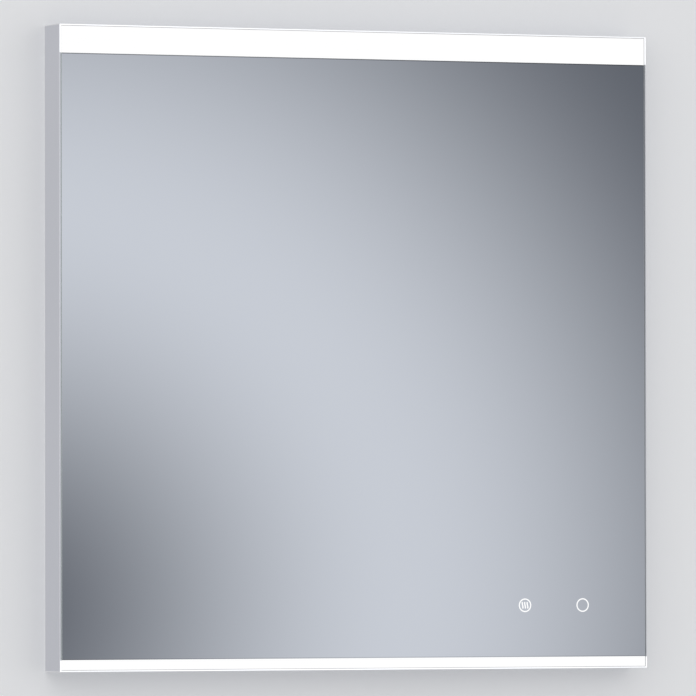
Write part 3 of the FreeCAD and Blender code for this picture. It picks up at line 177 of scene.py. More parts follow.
# %% Helpers for finishes
nodes_per_row = 6
node_width = 220
node_height = 260


def rgb(red, green, blue):
    """Linear colour from the 0 to 255 values that a screen shows."""
    def linear(value):
        value = value / 255
        return value / 12.92 if value <= 0.04045 else ((value + 0.055) / 1.055) ** 2.4
    return (linear(red), linear(green), linear(blue), 1)


def grey(value):
    """Neutral colour of one screen value."""
    return rgb(value, value, value)


def scaled(colour, share):
    """The same hue with a share of its light."""
    return tuple(value * share for value in colour[:3]) + (1,)


class Recipe:
    """Places nodes in one tree and joins them."""

    def __init__(self, tree):
        self.tree = tree
        self.count = 0

    def add(self, kind, **settings):
        """New node, laid out in rows so that the tree can be read in the editor."""
        node = self.tree.nodes.new(kind)
        row, column = divmod(self.count, nodes_per_row)
        node.location = (node_width * column, -node_height * row)
        self.count += 1
        for setting, value in settings.items():
            setattr(node, setting, value)
        return node

    def join(self, source, target):
        self.tree.links.new(source, target)

    def coordinates(self, scale=(1, 1, 1), centre=(0, 0, 0)):
        """Object coordinates in metres, counted from a centre and stretched by a scale."""
        place = self.add("ShaderNodeTexCoord")
        mapping = self.add("ShaderNodeMapping")
        mapping.inputs["Location"].default_value = [-c * s for c, s in zip(centre, scale)]
        mapping.inputs["Scale"].default_value = scale
        self.join(place.outputs["Object"], mapping.inputs["Vector"])
        return mapping.outputs["Vector"]

    def math(self, operation, first, second):
        """Arithmetic on two values, each a number or a socket."""
        node = self.add("ShaderNodeMath", operation=operation)
        for index, value in enumerate((first, second)):
            if isinstance(value, (int, float)):
                node.inputs[index].default_value = value
            else:
                self.join(value, node.inputs[index])
        return node.outputs["Value"]

    def between(self, value, low, high):
        """Carry a 0 to 1 value to another range."""
        node = self.add("ShaderNodeMapRange")
        node.inputs["To Min"].default_value = low
        node.inputs["To Max"].default_value = high
        self.join(value, node.inputs["Value"])
        return node.outputs["Result"]

    def fall(self, value, start, end):
        """Soft step from 1 at start to 0 at end; both are numbers or sockets."""
        node = self.add("ShaderNodeMapRange", interpolation_type="SMOOTHSTEP")
        node.inputs["To Min"].default_value = 1
        node.inputs["To Max"].default_value = 0
        for label, limit in (("From Min", start), ("From Max", end)):
            if isinstance(limit, (int, float)):
                node.inputs[label].default_value = limit
            else:
                self.join(limit, node.inputs[label])
        self.join(value, node.inputs["Value"])
        return node.outputs["Result"]

    def blend(self, value, first, second):
        """Mix two colours by a value."""
        node = self.add("ShaderNodeMix", data_type="RGBA")
        self.join(value, node.inputs["Factor"])
        colours = [socket for socket in node.inputs if socket.type == "RGBA"]
        for socket, colour in zip(colours, (first, second)):
            if isinstance(colour, tuple):
                socket.default_value = colour
            else:
                self.join(colour, socket)
        return next(socket for socket in node.outputs if socket.type == "RGBA")

    def bump(self, shader, height, strength, distance):
        """Dent the surface by a height mask; the distance is in metres."""
        node = self.add("ShaderNodeBump")
        node.inputs["Strength"].default_value = strength
        node.inputs["Distance"].default_value = distance
        self.join(height, node.inputs["Height"])
        self.join(node.outputs["Normal"], shader.inputs["Normal"])


def bare_material(name):
    """Material with no nodes yet, and its recipe."""
    material = bpy.data.materials.new(name)
    material.use_nodes = True
    material.node_tree.nodes.clear()
    return material, Recipe(material.node_tree)


def new_finish(name):
    """Material and its recipe, with the shader in place."""
    material, recipe = bare_material(name)
    shader = recipe.add("ShaderNodeBsdfPrincipled")
    output = recipe.add("ShaderNodeOutputMaterial")
    recipe.join(shader.outputs["BSDF"], output.inputs["Surface"])
    return material, recipe, shader


print("white as a linear colour:", grey(255))

# %% [markdown]
# What several finishes share is built once, as a node group: a small tree with named inputs and
# outputs. It could be copied into each finish, but then a change would have to be made many times.

# %% Helpers for shared effects
def new_effect(name, inputs):
    """Node group that turns a place on the surface and some numbers into a mask."""
    tree = bpy.data.node_groups.new(name, "ShaderNodeTree")
    for label, default in inputs.items():
        kind = "NodeSocketFloat" if isinstance(default, float) else "NodeSocketVector"
        socket = tree.interface.new_socket(name=label, in_out="INPUT", socket_type=kind)
        socket.default_value = default
    tree.interface.new_socket(name="Mask", in_out="OUTPUT", socket_type="NodeSocketFloat")
    recipe = Recipe(tree)
    given = recipe.add("NodeGroupInput").outputs
    wanted = recipe.add("NodeGroupOutput").inputs["Mask"]
    return tree, recipe, given, wanted


def use_effect(recipe, tree, vector, **values):
    """Place an effect in a finish with its own values."""
    node = recipe.add("ShaderNodeGroup")
    node.node_tree = tree
    recipe.join(vector, node.inputs["Vector"])
    for label, value in values.items():
        node.inputs[label.replace("_", " ")].default_value = value
    return node.outputs["Mask"]


print("effects give one mask each")

# %% [markdown]
# Rolled, drawn or moulded stock is never quite even: its brightness wanders slowly over the
# surface, and fine marks lie on top. Both could be painted by hand, but two noises of different
# scale give the same look on every piece.

# %% Shared effect: uneven stock
def make_uneven_effect():
    """Mask that mixes slow clouds with fine marks."""
    tree, recipe, given, wanted = new_effect("uneven_stock", {
        "Vector": (0, 0, 0), "Cloud Scale": 3.0, "Mark Scale": 300.0, "Mark Share": 0.5})
    layers = []
    for label, detail in (("Cloud Scale", 2), ("Mark Scale", 3)):
        noise = recipe.add("ShaderNodeTexNoise")
        noise.inputs["Detail"].default_value = detail
        recipe.join(given["Vector"], noise.inputs["Vector"])
        recipe.join(given[label], noise.inputs["Scale"])
        layers.append(noise.outputs["Fac"])
    clouds, marks = layers
    step = recipe.math("SUBTRACT", marks, clouds)
    share = recipe.math("MULTIPLY", step, given["Mark Share"])
    recipe.join(recipe.math("ADD", clouds, share), wanted)
    return tree


uneven = make_uneven_effect()
print("effect:", uneven.name)

# %% [markdown]
# The outer edges of the frame are broken by half a millimetre, so they catch the light as bright
# lines. These lines are a painted highlight, a colour brightened along the edges. They could be
# modelled as thin strips, but a mask that measures how far a point is from the nearest edge of
# the whole frame follows all twelve edges at once.

# %% Shared effect: painted highlight on the outer edges
def make_edge_highlight_effect():
    """Mask that is 1 along the outer edges of a box and falls to 0 on its faces."""
    tree, recipe, given, wanted = new_effect("painted_edge_highlight", {
        "Vector": (0, 0, 0), "Low": (0, 0, 0), "High": (1, 1, 1), "Width": 0.001})
    gaps = []
    for first, second in (("Vector", "Low"), ("High", "Vector")):
        gap = recipe.add("ShaderNodeVectorMath", operation="SUBTRACT")
        recipe.join(given[first], gap.inputs[0])
        recipe.join(given[second], gap.inputs[1])
        gaps.append(gap.outputs["Vector"])
    nearest = recipe.add("ShaderNodeVectorMath", operation="MINIMUM")
    recipe.join(gaps[0], nearest.inputs[0])
    recipe.join(gaps[1], nearest.inputs[1])
    split = recipe.add("ShaderNodeSeparateXYZ")
    recipe.join(nearest.outputs["Vector"], split.inputs["Vector"])
    across, deep, up = split.outputs
    lower = recipe.math("MINIMUM", across, deep)
    upper = recipe.math("MAXIMUM", across, deep)
    to_edge = recipe.math("MAXIMUM", lower, recipe.math("MINIMUM", upper, up))
    recipe.join(recipe.fall(to_edge, 0.0, given["Width"]), wanted)
    return tree


# Mask for the painted highlight along the frame's outer edges.
edge_highlight = make_edge_highlight_effect()
print("effect:", edge_highlight.name)

# %% [markdown]
# Beside the two light bands the narrow front of the frame is lit by them and looks nearly white.
# Real light does reach it through the edge of the glass, but a shader can't follow that in a thin
# gap, so a mask picks the front of the frame beside the bands and lets it glow a little.

# %% Shared effect: light on the rim
top_band = 36 * MM
bottom_band = 15 * MM
band_high = cad_high.z - top_band
band_low = cad_low.z + bottom_band


def make_rim_effect():
    """Mask of the flat front, above the upper level and below the lower one."""
    tree, recipe, given, wanted = new_effect("rim_light", {
        "Vector": (0, 0, 0), "Front": 0.0, "Lower Level": 0.0, "Upper Level": 1.0, "Blur": 0.001})
    split = recipe.add("ShaderNodeSeparateXYZ")
    recipe.join(given["Vector"], split.inputs["Vector"])
    across, deep, up = split.outputs
    on_front = recipe.math("LESS_THAN", deep, given["Front"])
    below = recipe.fall(up, recipe.math("SUBTRACT", given["Lower Level"], given["Blur"]),
                        given["Lower Level"])
    under_top = recipe.fall(up, given["Upper Level"],
                            recipe.math("ADD", given["Upper Level"], given["Blur"]))
    beside = recipe.math("MAXIMUM", below, recipe.math("SUBTRACT", 1.0, under_top))
    recipe.join(recipe.math("MULTIPLY", on_front, beside), wanted)
    return tree


rim_light = make_rim_effect()
print("effect:", rim_light.name)

# %% [markdown]
# Anodised aluminium is matt from etching, and the die leaves lines along each bar. A brushed
# texture could be drawn across it, but real bars show only faint lines along their length, so the
# noise is squeezed along the bar: upright bars and level bars need their own direction.

# %% Finishes: anodised frame and plain aluminium
# Width and near-white colour of the painted highlight along the frame's edges and on its front.
edge_highlight_width = 1.8 * MM
skin_depth = 0.02 * MM
front_skin = cad_low.y + skin_depth
painted_highlight_grey = grey(252)
level_glow = 0.68
upright_glow = 0.95
line_stretch = 0.004
line_depth = 0.04 * MM
gloss_spread = 0.15


def drawn_metal(name, colour, roughness, along, contrast):
    """Satin metal with faint lines along x or z; gives its recipe back for more."""
    material, recipe, shader = new_finish(name)
    vector = recipe.coordinates({"x": (line_stretch, 1, 1), "z": (1, 1, line_stretch)}[along])
    mask = use_effect(recipe, uneven, vector, Cloud_Scale=12, Mark_Scale=900, Mark_Share=0.6)
    tint = recipe.blend(mask, scaled(colour, 1 - contrast), colour)
    gloss = recipe.between(mask, roughness * (1 - gloss_spread), roughness * (1 + gloss_spread))
    recipe.join(gloss, shader.inputs["Roughness"])
    recipe.bump(shader, mask, strength=0.12, distance=line_depth)
    recipe.join(tint, shader.inputs["Base Color"])
    shader.inputs["Metallic"].default_value = 1
    return material, recipe, shader, tint


def anodised(name, along, glow):
    """Satin frame metal: painted highlight on edges and front, and a glow beside the bands."""
    material, recipe, shader, tint = drawn_metal(name, rgb(219, 220, 226), roughness=0.36,
                                                 along=along, contrast=0.04)
    # Painted highlight: the outer edges and the whole flat front are brightened to a near-white
    # colour.
    place = recipe.coordinates()
    edges = use_effect(recipe, edge_highlight, place, Low=cad_low, High=cad_high, Width=edge_highlight_width)
    split = recipe.add("ShaderNodeSeparateXYZ")
    recipe.join(place, split.inputs["Vector"])
    on_front = recipe.math("LESS_THAN", split.outputs["Y"], front_skin)
    bright = recipe.math("MAXIMUM", edges, on_front)
    recipe.join(recipe.blend(bright, tint, painted_highlight_grey), shader.inputs["Base Color"])
    beside_band = use_effect(recipe, rim_light, place, Front=front_skin, Lower_Level=band_low,
                             Upper_Level=band_high)
    recipe.join(recipe.blend(beside_band, grey(0), grey(255)), shader.inputs["Emission Color"])
    shader.inputs["Emission Strength"].default_value = glow
    return material


anodised_level = anodised("anodised_level", "x", level_glow)
anodised_upright = anodised("anodised_upright", "z", upright_glow)
mill_aluminium = drawn_metal("mill_aluminium", rgb(214, 216, 220), roughness=0.28, along="x",
                             contrast=0.14)[0]
print("aluminium:", anodised_level.name, anodised_upright.name, mill_aluminium.name)

# %% [markdown]
# The rear cover and the rails behind it are galvanised. Zinc freezes into crystals the size of a
# fingernail, each of which reflects a little differently. They could be painted on as an image, but
# a Voronoi texture gives just such cells, at any distance and with no seam.

# %% Finish: galvanised steel
crystals_per_metre = 80
crystal_depth = 0.08 * MM


def galvanised():
    """Steel sheet with zinc crystals that differ in tint, gloss and height."""
    material, recipe, shader = new_finish("galvanised_sheet")
    vector = recipe.coordinates()
    crystals = recipe.add("ShaderNodeTexVoronoi")
    crystals.inputs["Scale"].default_value = crystals_per_metre
    recipe.join(vector, crystals.inputs["Vector"])
    split = recipe.add("ShaderNodeSeparateColor")
    recipe.join(crystals.outputs["Color"], split.inputs["Color"])
    tint = recipe.blend(split.outputs["Red"], rgb(164, 168, 173), rgb(190, 194, 198))
    mask = use_effect(recipe, uneven, vector, Cloud_Scale=4, Mark_Scale=260, Mark_Share=0.4)
    recipe.join(recipe.blend(mask, rgb(172, 176, 180), tint), shader.inputs["Base Color"])
    gloss = recipe.between(split.outputs["Green"], low=0.34, high=0.54)
    recipe.join(gloss, shader.inputs["Roughness"])
    shader.inputs["Metallic"].default_value = 0.9
    recipe.bump(shader, split.outputs["Blue"], strength=0.08, distance=crystal_depth)
    return material


galvanised_sheet = galvanised()
print("steel:", galvanised_sheet.name)

# %% [markdown]
# The remaining stock is zinc-plated screws, plastic, rubber, foam, film and board. Each gets the
# mark that tells it apart up close: a fine pebble on moulded plastic, pores in foam, the weave of
# glass cloth in a circuit board. One short function makes them all, because only values differ.

# %% Finishes: screws, plastic, rubber, foam, board and film
stock_gloss_spread = 0.06


def stock(name, dark, pale, rough, metal=0.0, cloud=6, mark=700, share=0.6, dent=0.15, depth=0.06):
    """Stock whose colour, gloss and surface follow the shared mask; depth in millimetres."""
    material, recipe, shader = new_finish(name)
    vector = recipe.coordinates()
    mask = use_effect(recipe, uneven, vector, Cloud_Scale=cloud, Mark_Scale=mark, Mark_Share=share)
    recipe.join(recipe.blend(mask, dark, pale), shader.inputs["Base Color"])
    gloss = recipe.between(mask, rough - stock_gloss_spread, rough + stock_gloss_spread)
    recipe.join(gloss, shader.inputs["Roughness"])
    shader.inputs["Metallic"].default_value = metal
    recipe.bump(shader, mask, dent, depth * MM)
    return material


zinc_plate = stock("zinc_plate", rgb(176, 178, 176), rgb(222, 223, 219), 0.26, metal=1.0, cloud=60,
                   mark=900, dent=0.05)
white_plastic = stock("white_plastic", rgb(214, 214, 208), rgb(226, 226, 221), 0.42)
grey_plastic = stock("grey_plastic", rgb(142, 144, 147), rgb(160, 162, 164), 0.45)
black_plastic = stock("black_plastic", rgb(24, 24, 26), rgb(40, 40, 42), 0.38)
black_rubber = stock("black_rubber", rgb(20, 20, 21), rgb(36, 36, 37), 0.72, dent=0.3)
lead_sheath = stock("lead_sheath", rgb(208, 208, 204), rgb(222, 222, 218), 0.5)
foam = stock("foam", rgb(40, 40, 42), rgb(74, 74, 76), 0.9, mark=1400, share=0.9, dent=0.8,
             depth=0.4)
opal = stock("opal", rgb(232, 234, 236), rgb(242, 243, 244), 0.5, dent=0.03)
chip = stock("chip", rgb(226, 220, 176), rgb(240, 236, 206), 0.35, dent=0.02)
mirror_paint = stock("mirror_paint", rgb(112, 120, 124), rgb(128, 136, 140), 0.5)
heating_film = stock("heating_film", rgb(172, 128, 62), rgb(200, 154, 84), 0.35, share=0.3)
circuit_board = stock("circuit_board", rgb(222, 224, 220), rgb(234, 236, 232), 0.4, mark=1800,
                      dent=0.2)
print("finishes so far:", len(bpy.data.materials))

# %% [markdown]
# From the front the pane is one sheet of float glass: silvered in the middle, left clear and
# sandblasted along the top and the bottom, where the light comes through. It could be real glass
# over a silver sheet, but then each ray crosses the glass twice for a difference of half a
# millimetre. So the front is one block whose face is cut into zones, each with its own finish.

# %% Finishes of the pane
silver_roughness = 0.012
blasted_grain = (1, 1, 6)
light_wander = 3
unlit_glass = grey(70)


def silver(name, share):
    """Silvered glass that gives back a share of the light."""
    material, recipe, shader = new_finish(name)
    vector = recipe.coordinates()
    mask = use_effect(recipe, uneven, vector, Cloud_Scale=2, Mark_Scale=40, Mark_Share=0.2)
    first = scaled(rgb(250, 251, 252), share)
    second = scaled(rgb(252, 253, 254), share)
    recipe.join(recipe.blend(mask, first, second), shader.inputs["Base Color"])
    shader.inputs["Metallic"].default_value = 1
    shader.inputs["Roughness"].default_value = silver_roughness
    return material


def lit_glass(name, level, strength):
    """Sandblasted glass with light shining through it."""
    material, recipe, shader = new_finish(name)
    vector = recipe.coordinates(blasted_grain)
    mask = use_effect(recipe, uneven, vector, Cloud_Scale=1.6, Mark_Scale=500, Mark_Share=0.15)
    shine = recipe.blend(mask, grey(level - light_wander), grey(level))
    recipe.join(shine, shader.inputs["Emission Color"])
    shader.inputs["Emission Strength"].default_value = strength
    shader.inputs["Base Color"].default_value = unlit_glass
    shader.inputs["Roughness"].default_value = 0.6
    return material


pane_silver = silver("pane_silver", share=1.0)
pane_border = silver("pane_border", share=0.45)
pane_low_border = silver("pane_low_border", share=0.75)
pane_light = lit_glass("pane_light", level=255, strength=0.95)
pane_edge = stock("pane_edge", rgb(196, 206, 204), rgb(212, 220, 218), 0.2, dent=0.02)
pane_finishes = [pane_silver, pane_light, pane_border, pane_low_border, pane_edge]
print("zones:", [finish.name for finish in pane_finishes])

# %% [markdown]
# The pane is a block with its front edges broken by a fine arris, as ground glass has. Cutting
# planes then split the front where the silver stops, with a thin darker border at each light band,
# fainter at the lower one. Separate strips of glass could be laid side by side, but the real pane
# has no joint.

# %% Pane
border_width = 1.2 * MM
arris = 0.6 * MM
pane_low, pane_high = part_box("mirror_glass")
SILVER, LIGHT, BORDER, LOW_BORDER, EDGE = range(len(pane_finishes))
zones = [(band_low, LIGHT), (band_low + border_width, LOW_BORDER),
         (band_high - border_width, SILVER), (band_high, BORDER)]
front_slope = -0.99
arris_slope = -0.1


def make_pane():
    """Block of glass with broken front edges, whose front is split into zones."""
    bm = bmesh.new()
    box_between(bm, pane_low, pane_high)
    front_edges = [edge for edge in bm.edges
                   if all(vert.co.y < pane_low.y + HAIR for vert in edge.verts)]
    bmesh.ops.bevel(bm, geom=front_edges, offset=arris, segments=2, profile=0.5, affect="EDGES",
                    material=-1)
    for level, zone in zones:
        everything = bm.verts[:] + bm.edges[:] + bm.faces[:]
        bmesh.ops.bisect_plane(bm, geom=everything, plane_co=(0, 0, level), plane_no=(0, 0, 1))
    bm.normal_update()
    for face in bm.faces:
        level = face.calc_center_median().z
        zone = next((index for limit, index in zones if level < limit), LIGHT)
        on_front = face.normal.y < front_slope
        on_arris = front_slope < face.normal.y < arris_slope
        lit = on_arris and zone == LIGHT
        face.material_index = zone if on_front or lit else EDGE
    finish_piece(bm, "pane", pane_finishes, replaces=["mirror_glass"])


make_pane()

# %% [markdown]
# The two touch signs are thin rings, scraped out of the silver and lit from behind. The left one
# holds three wavy strokes, the usual sign for the demister, and the right one, for the light, is
# empty. They could be drawn into the finish, but as thin inlays they stay crisp at any distance.

# %% Touch signs: rings
sign_rise = 80 * MM
light_sign_inset = 90 * MM
sign_spacing = 80 * MM
ring_outer = 8.6 * MM
ring_line = 1.5 * MM
ring_corners = 96
inlay_proud = 0.03 * MM

sign_z = cad_low.z + sign_rise
light_sign_x = cad_high.x - light_sign_inset
demister_sign_x = light_sign_x - sign_spacing
sign_light = lit_glass("sign_light", level=255, strength=1.0)


def rim_of(circle):
    """Edges of a circle that was just created."""
    return list({edge for vert in circle["verts"] for edge in vert.link_edges})


def raise_inlay(bm):
    """Give flat faces on the pane the thickness of an inlay."""
    raised = bmesh.ops.extrude_face_region(bm, geom=bm.faces[:])
    moved = [item for item in raised["geom"] if isinstance(item, bmesh.types.BMVert)]
    bmesh.ops.translate(bm, vec=(0, -inlay_proud, 0), verts=moved)


def make_ring(name, across):
    """Ring round a place on the pane."""
    bm = bmesh.new()
    loops = []
    place = Matrix.Translation((across, pane_low.y, sign_z)) @ facing_room
    for radius in (ring_outer, ring_outer - ring_line):
        loops += rim_of(bmesh.ops.create_circle(bm, segments=ring_corners, radius=radius,
                                                matrix=place))
    bmesh.ops.bridge_loops(bm, edges=loops)
    raise_inlay(bm)
    finish_piece(bm, name, [sign_light])


make_ring("light_sign", light_sign_x)
make_ring("demister_sign_ring", demister_sign_x)

# %% [markdown]
# Each wavy stroke starts as one short edge at its top. Extruding that edge step by step, and
# shifting it sideways along a wave, draws the stroke like a broad pen. A curve with a thickness
# would do too, but it would have round sides, and these strokes are flat.

# %% Touch signs: waves
wave_height = 8.2 * MM
wave_spacing = 3.4 * MM
wave_line = 1.7 * MM
wave_swing = 0.4 * MM
wave_curl = 0.6
wave_steps = 24


def make_waves(name, across):
    """Three wavy strokes round a place on the pane."""
    bm = bmesh.new()
    for column in (-1, 0, 1):
        middle = across + column * wave_spacing - wave_swing
        ends = [bm.verts.new((middle + side * wave_line / 2, pane_low.y, sign_z + wave_height / 2))
                for side in (-1, 1)]
        edge = bm.edges.new(ends)
        shift = 0
        for step in range(1, wave_steps + 1):
            share = step / wave_steps
            wanted = wave_swing * (2 * share - wave_curl * math.sin(2 * math.pi * share))
            drawn = bmesh.ops.extrude_edge_only(bm, edges=[edge])["geom"]
            moved = [item for item in drawn if isinstance(item, bmesh.types.BMVert)]
            bmesh.ops.translate(bm, vec=(wanted - shift, 0, -wave_height / wave_steps), verts=moved)
            edge = next(item for item in drawn if isinstance(item, bmesh.types.BMEdge)
                        and all(vert in moved for vert in item.verts))
            shift = wanted
    raise_inlay(bm)
    finish_piece(bm, name, [sign_light])


make_waves("demister_sign_waves", demister_sign_x)

# %% [markdown]
# From behind, the screws show. A pan head is a short drum with a rounded shoulder and a cross in
# its top. It could be cut with a boolean, but growing one rim step by step is exact: out of the
# base, over the shoulder, across to the cross, down into it, and on the other side along the shank.
# The driver's screws are put in from inside, so theirs are turned about.

# %% Screws
head_steps = [(0.50, 1), (0.25, 0.94), (0.16, 0.84), (0.05, 0.78)]
cross_share = 0.56
cross_neck = 0.366
cross_depth = 0.7
cross_floor = 0.7
tip_share = 0.5
head_corners = 24
cross_corners = 12
half_corner = Matrix.Rotation(math.pi / cross_corners, 4, "Z")


def grow(bm, rim, centre, move=0.0, shrink=1.0):
    """Draw an open rim onwards along Y and narrow it about its centre; gives the new rim."""
    drawn = bmesh.ops.extrude_edge_only(bm, edges=rim)["geom"]
    verts = {item for item in drawn if isinstance(item, bmesh.types.BMVert)}
    bmesh.ops.translate(bm, verts=list(verts), vec=(0, move, 0))
    bmesh.ops.scale(bm, verts=list(verts), vec=(shrink, 1, shrink),
                    space=Matrix.Translation(-Vector(centre)))
    return [item for item in drawn if isinstance(item, bmesh.types.BMEdge)
            and verts.issuperset(item.verts)]


def add_screw(bm, tip, crown, head_tall, shank_radius):
    """Pan head screw with its head towards the wall, between the two corners of its solid."""
    centre = (tip + crown) / 2
    centre.y = crown.y - head_tall
    radius = (crown.x - tip.x) / 2
    place = Matrix.Translation(centre) @ facing_room
    base = rim_of(bmesh.ops.create_circle(bm, segments=head_corners, radius=radius, matrix=place))
    rim = base
    for move, shrink in head_steps:
        rim = grow(bm, rim, centre, move * head_tall, shrink)
    turned = Matrix.Translation((0, head_tall, 0)) @ place @ half_corner
    cross = bmesh.ops.create_circle(bm, segments=cross_corners, radius=radius * cross_share,
                                    matrix=turned)
    inner = [vert for vert in cross["verts"]
             if abs(abs(vert.co.x - centre.x) - abs(vert.co.z - centre.z)) < HAIR]
    bmesh.ops.scale(bm, verts=inner, vec=(cross_neck, 1, cross_neck),
                    space=Matrix.Translation(-centre))
    cross = rim_of(cross)
    bmesh.ops.bridge_loops(bm, edges=rim + cross)
    floor = grow(bm, cross, centre, -cross_depth * head_tall, cross_floor)
    bmesh.ops.edgeloop_fill(bm, edges=floor)
    shank = grow(bm, base, centre, 0, shank_radius / radius)
    shank = grow(bm, shank, centre, tip.y - centre.y + shank_radius / 2)
    shank = grow(bm, shank, centre, -shank_radius / 2, tip_share)
    bmesh.ops.edgeloop_fill(bm, edges=shank)


def make_screws(name, node, head_tall, shank_radius, from_inside=False):
    """Screws in place of a part; lengths in millimetres."""
    bm = bmesh.new()
    for tip, crown in solids_of(node):
        add_screw(bm, tip, crown, head_tall * MM, shank_radius * MM)
    if from_inside:
        low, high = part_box(node)
        bmesh.ops.scale(bm, verts=bm.verts, vec=(1, -1, 1),
                        space=Matrix.Translation((0, -(low.y + high.y) / 2, 0)))
    finish_piece(bm, name, [zinc_plate], replaces=[node], smooth=40)


make_screws("cover_cross_screws", "cover_screws", head_tall=2.0, shank_radius=1.75)
make_screws("hook_rail_cross_screws", "hook_screws", head_tall=2.6, shank_radius=2.5)
make_screws("bumper_cross_screws", "bumper_screws", head_tall=2.4, shank_radius=2.0)
make_screws("terminal_lid_cross_screws", "terminal_lid_screws", head_tall=1.8, shank_radius=1.5)
make_screws("driver_cross_screws", "driver_screws", head_tall=2.0, shank_radius=1.75,
            from_inside=True)

# %% [markdown]
# A rubber bumper keeps the lower edge off the wall. It is turned, so one profile spun about its
# axis makes it: the outer wall, the rounded lip, the well for the screw and the hole beneath. A
# cylinder with a bevel could stand in for it, but it would have no well.

# %% Rubber bumpers
ROUND, HEX = 48, 6


def turn_profile(bm, profile, centre):
    """Spin a closed profile of (radius, depth) points in millimetres about a line along Y."""
    verts = [bm.verts.new(centre + Vector((radius * MM, -depth * MM, 0)))
             for radius, depth in profile]
    edges = [bm.edges.new(pair) for pair in zip(verts, verts[1:] + verts[:1])]
    bmesh.ops.spin(bm, geom=verts + edges, cent=centre, axis=(0, 1, 0), dvec=(0, 0, 0),
                   angle=2 * math.pi, steps=ROUND, use_merge=True)


bumper_profile = [(2.0, 15), (9.7, 15), (10, 14.7), (10, 1.9), (9.7, 0.9), (9.1, 0.3), (8.1, 0),
                  (5.2, 0), (4.8, 0.2), (4.6, 0.6), (4.6, 9), (2.0, 9)]


def make_bumpers():
    """A turned bumper in place of each measured one."""
    bm = bmesh.new()
    for low, high in solids_of("wall_bumpers"):
        centre = (low + high) / 2
        centre.y = 0
        turn_profile(bm, bumper_profile, centre)
    finish_piece(bm, "rubber_bumpers", [black_rubber], replaces=["wall_bumpers"],
                 smooth=35)


make_bumpers()

# %% [markdown]
# The cable gland clamps the supply cable. Outside it has a hexagon against the cover and a domed
# nut with six flats. Turning alone can't make flats, so each is a row of rims that get bridged: six
# corners for the flats, a fine circle for the bore. Rims that share a plane can be bridged with a
# twist, so no rim lies in its neighbour's plane.

# %% Cable gland
gland_low, gland_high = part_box("gland_nut")
gland_axis = (gland_low + gland_high) / 2
gland_bore = 4.2
gland_thread = 6.0
gland_flats = 17
gland_corner = gland_flats / math.sqrt(3)
body_profile = [
    (22.9, gland_bore, ROUND), (23, 5.6, ROUND), (22.6, gland_thread, ROUND),
    (15, gland_thread, ROUND), (14.9, gland_corner - 0.4, HEX), (14.6, gland_corner, HEX),
    (12.5, gland_corner, HEX), (12.1, gland_corner - 0.5, HEX), (12, gland_thread, ROUND),
    (5.8, gland_thread, ROUND), (5.6, 5.6, ROUND), (5.7, 5.4, ROUND), (10, 5.4, ROUND),
    (10.1, gland_bore, ROUND)]
nut_profile = [
    (11.9, 6.1, ROUND), (12, 7.7, HEX), (11.6, 8.2, HEX), (7.4, 8.2, HEX), (7.0, 7.0, ROUND),
    (6.0, 6.9, ROUND), (5.0, 6.5, ROUND), (4.3, 5.8, ROUND), (4.0, 5.0, ROUND), (4.1, 4.5, ROUND),
    (4.4, gland_bore, ROUND), (5.5, gland_bore, ROUND), (5.6, 6.1, ROUND)]


def circle_at(bm, depth, radius, corners):
    """Rim round the gland's axis at a depth from the wall; lengths in millimetres."""
    place = Matrix.Translation((gland_axis.x, -depth * MM, gland_axis.z)) @ facing_room
    return rim_of(bmesh.ops.create_circle(bm, segments=corners, radius=radius * MM, matrix=place))


def make_gland_piece(name, node, profile):
    """Skin the rims of a (depth, radius, corners) profile, and close it from last to first."""
    bm = bmesh.new()
    rims = [circle_at(bm, *row) for row in profile]
    for first, second in zip(rims, rims[1:] + rims[:1]):
        bmesh.ops.bridge_loops(bm, edges=first + second)
    finish_piece(bm, name, [black_plastic], replaces=[node], smooth=35)


make_gland_piece("gland_hexagon_body", "gland_body", body_profile)
make_gland_piece("gland_domed_nut", "gland_nut", nut_profile)

# %% [markdown]
# Four foam blocks hold the glass off the rails behind it. Foam has no sharp edges where it is
# squeezed, so each block gets broad round ones. A cloth simulation could press it into shape, but
# the foam is cut from sheet and barely gives way, so that would only blur it.

# %% Foam blocks
foam_edge = 2.4 * MM


def make_foam_blocks():
    """A block with round edges in place of each measured pad."""
    bm = bmesh.new()
    for low, high in solids_of("support_pads"):
        box = box_between(bm, low, high)
        edges = list({edge for vert in box for edge in vert.link_edges})
        bmesh.ops.bevel(bm, geom=edges, offset=foam_edge, segments=4, profile=0.5, affect="EDGES",
                        material=-1, clamp_overlap=True)
    piece = finish_piece(bm, "foam_blocks", [foam], replaces=["support_pads"],
                         smooth=60)


make_foam_blocks()

# %% [markdown]
# Neither the aluminium rails of the cleat nor the moulded terminal lid has razor edges, and all
# three show from behind. A finish could only hint at that, so each gets a copy of its measured
# shape with every sharp edge broken. The copy is joined up first, because loose triangles have no
# edges to bevel.

# %% Cleat and terminal lid with broken edges
rail_edge = 0.35 * MM
lid_edge = 0.3 * MM
sharp_from = math.radians(30)
flat_below = math.radians(1)


def break_edges(node, name, material, width, body="mirror"):
    """Copy of a measured part whose sharp edges are bevelled by a width."""
    bm = merged_copy(node)
    bmesh.ops.dissolve_limit(bm, angle_limit=flat_below, verts=bm.verts, edges=bm.edges)
    sharp = [edge for edge in bm.edges
             if edge.is_manifold and edge.calc_face_angle(0) > sharp_from]
    bmesh.ops.bevel(bm, geom=sharp, offset=width, segments=2, profile=0.5, affect="EDGES",
                    material=-1, clamp_overlap=True)
    finish_piece(bm, name, [material], replaces=[node], body=body)


break_edges("hook_rail", "hook_rail_bent", mill_aluminium, rail_edge)
break_edges("wall_rail", "wall_rail_bent", mill_aluminium, rail_edge,
            body="wall_side")
break_edges("terminal_lid", "terminal_lid_moulded", grey_plastic, lid_edge)

# %% [markdown]
# Every other measured part keeps its own mesh and only gets a finish. Each could have a line of its
# own, but one table says which part is made of what, and a part left out shows up at once.

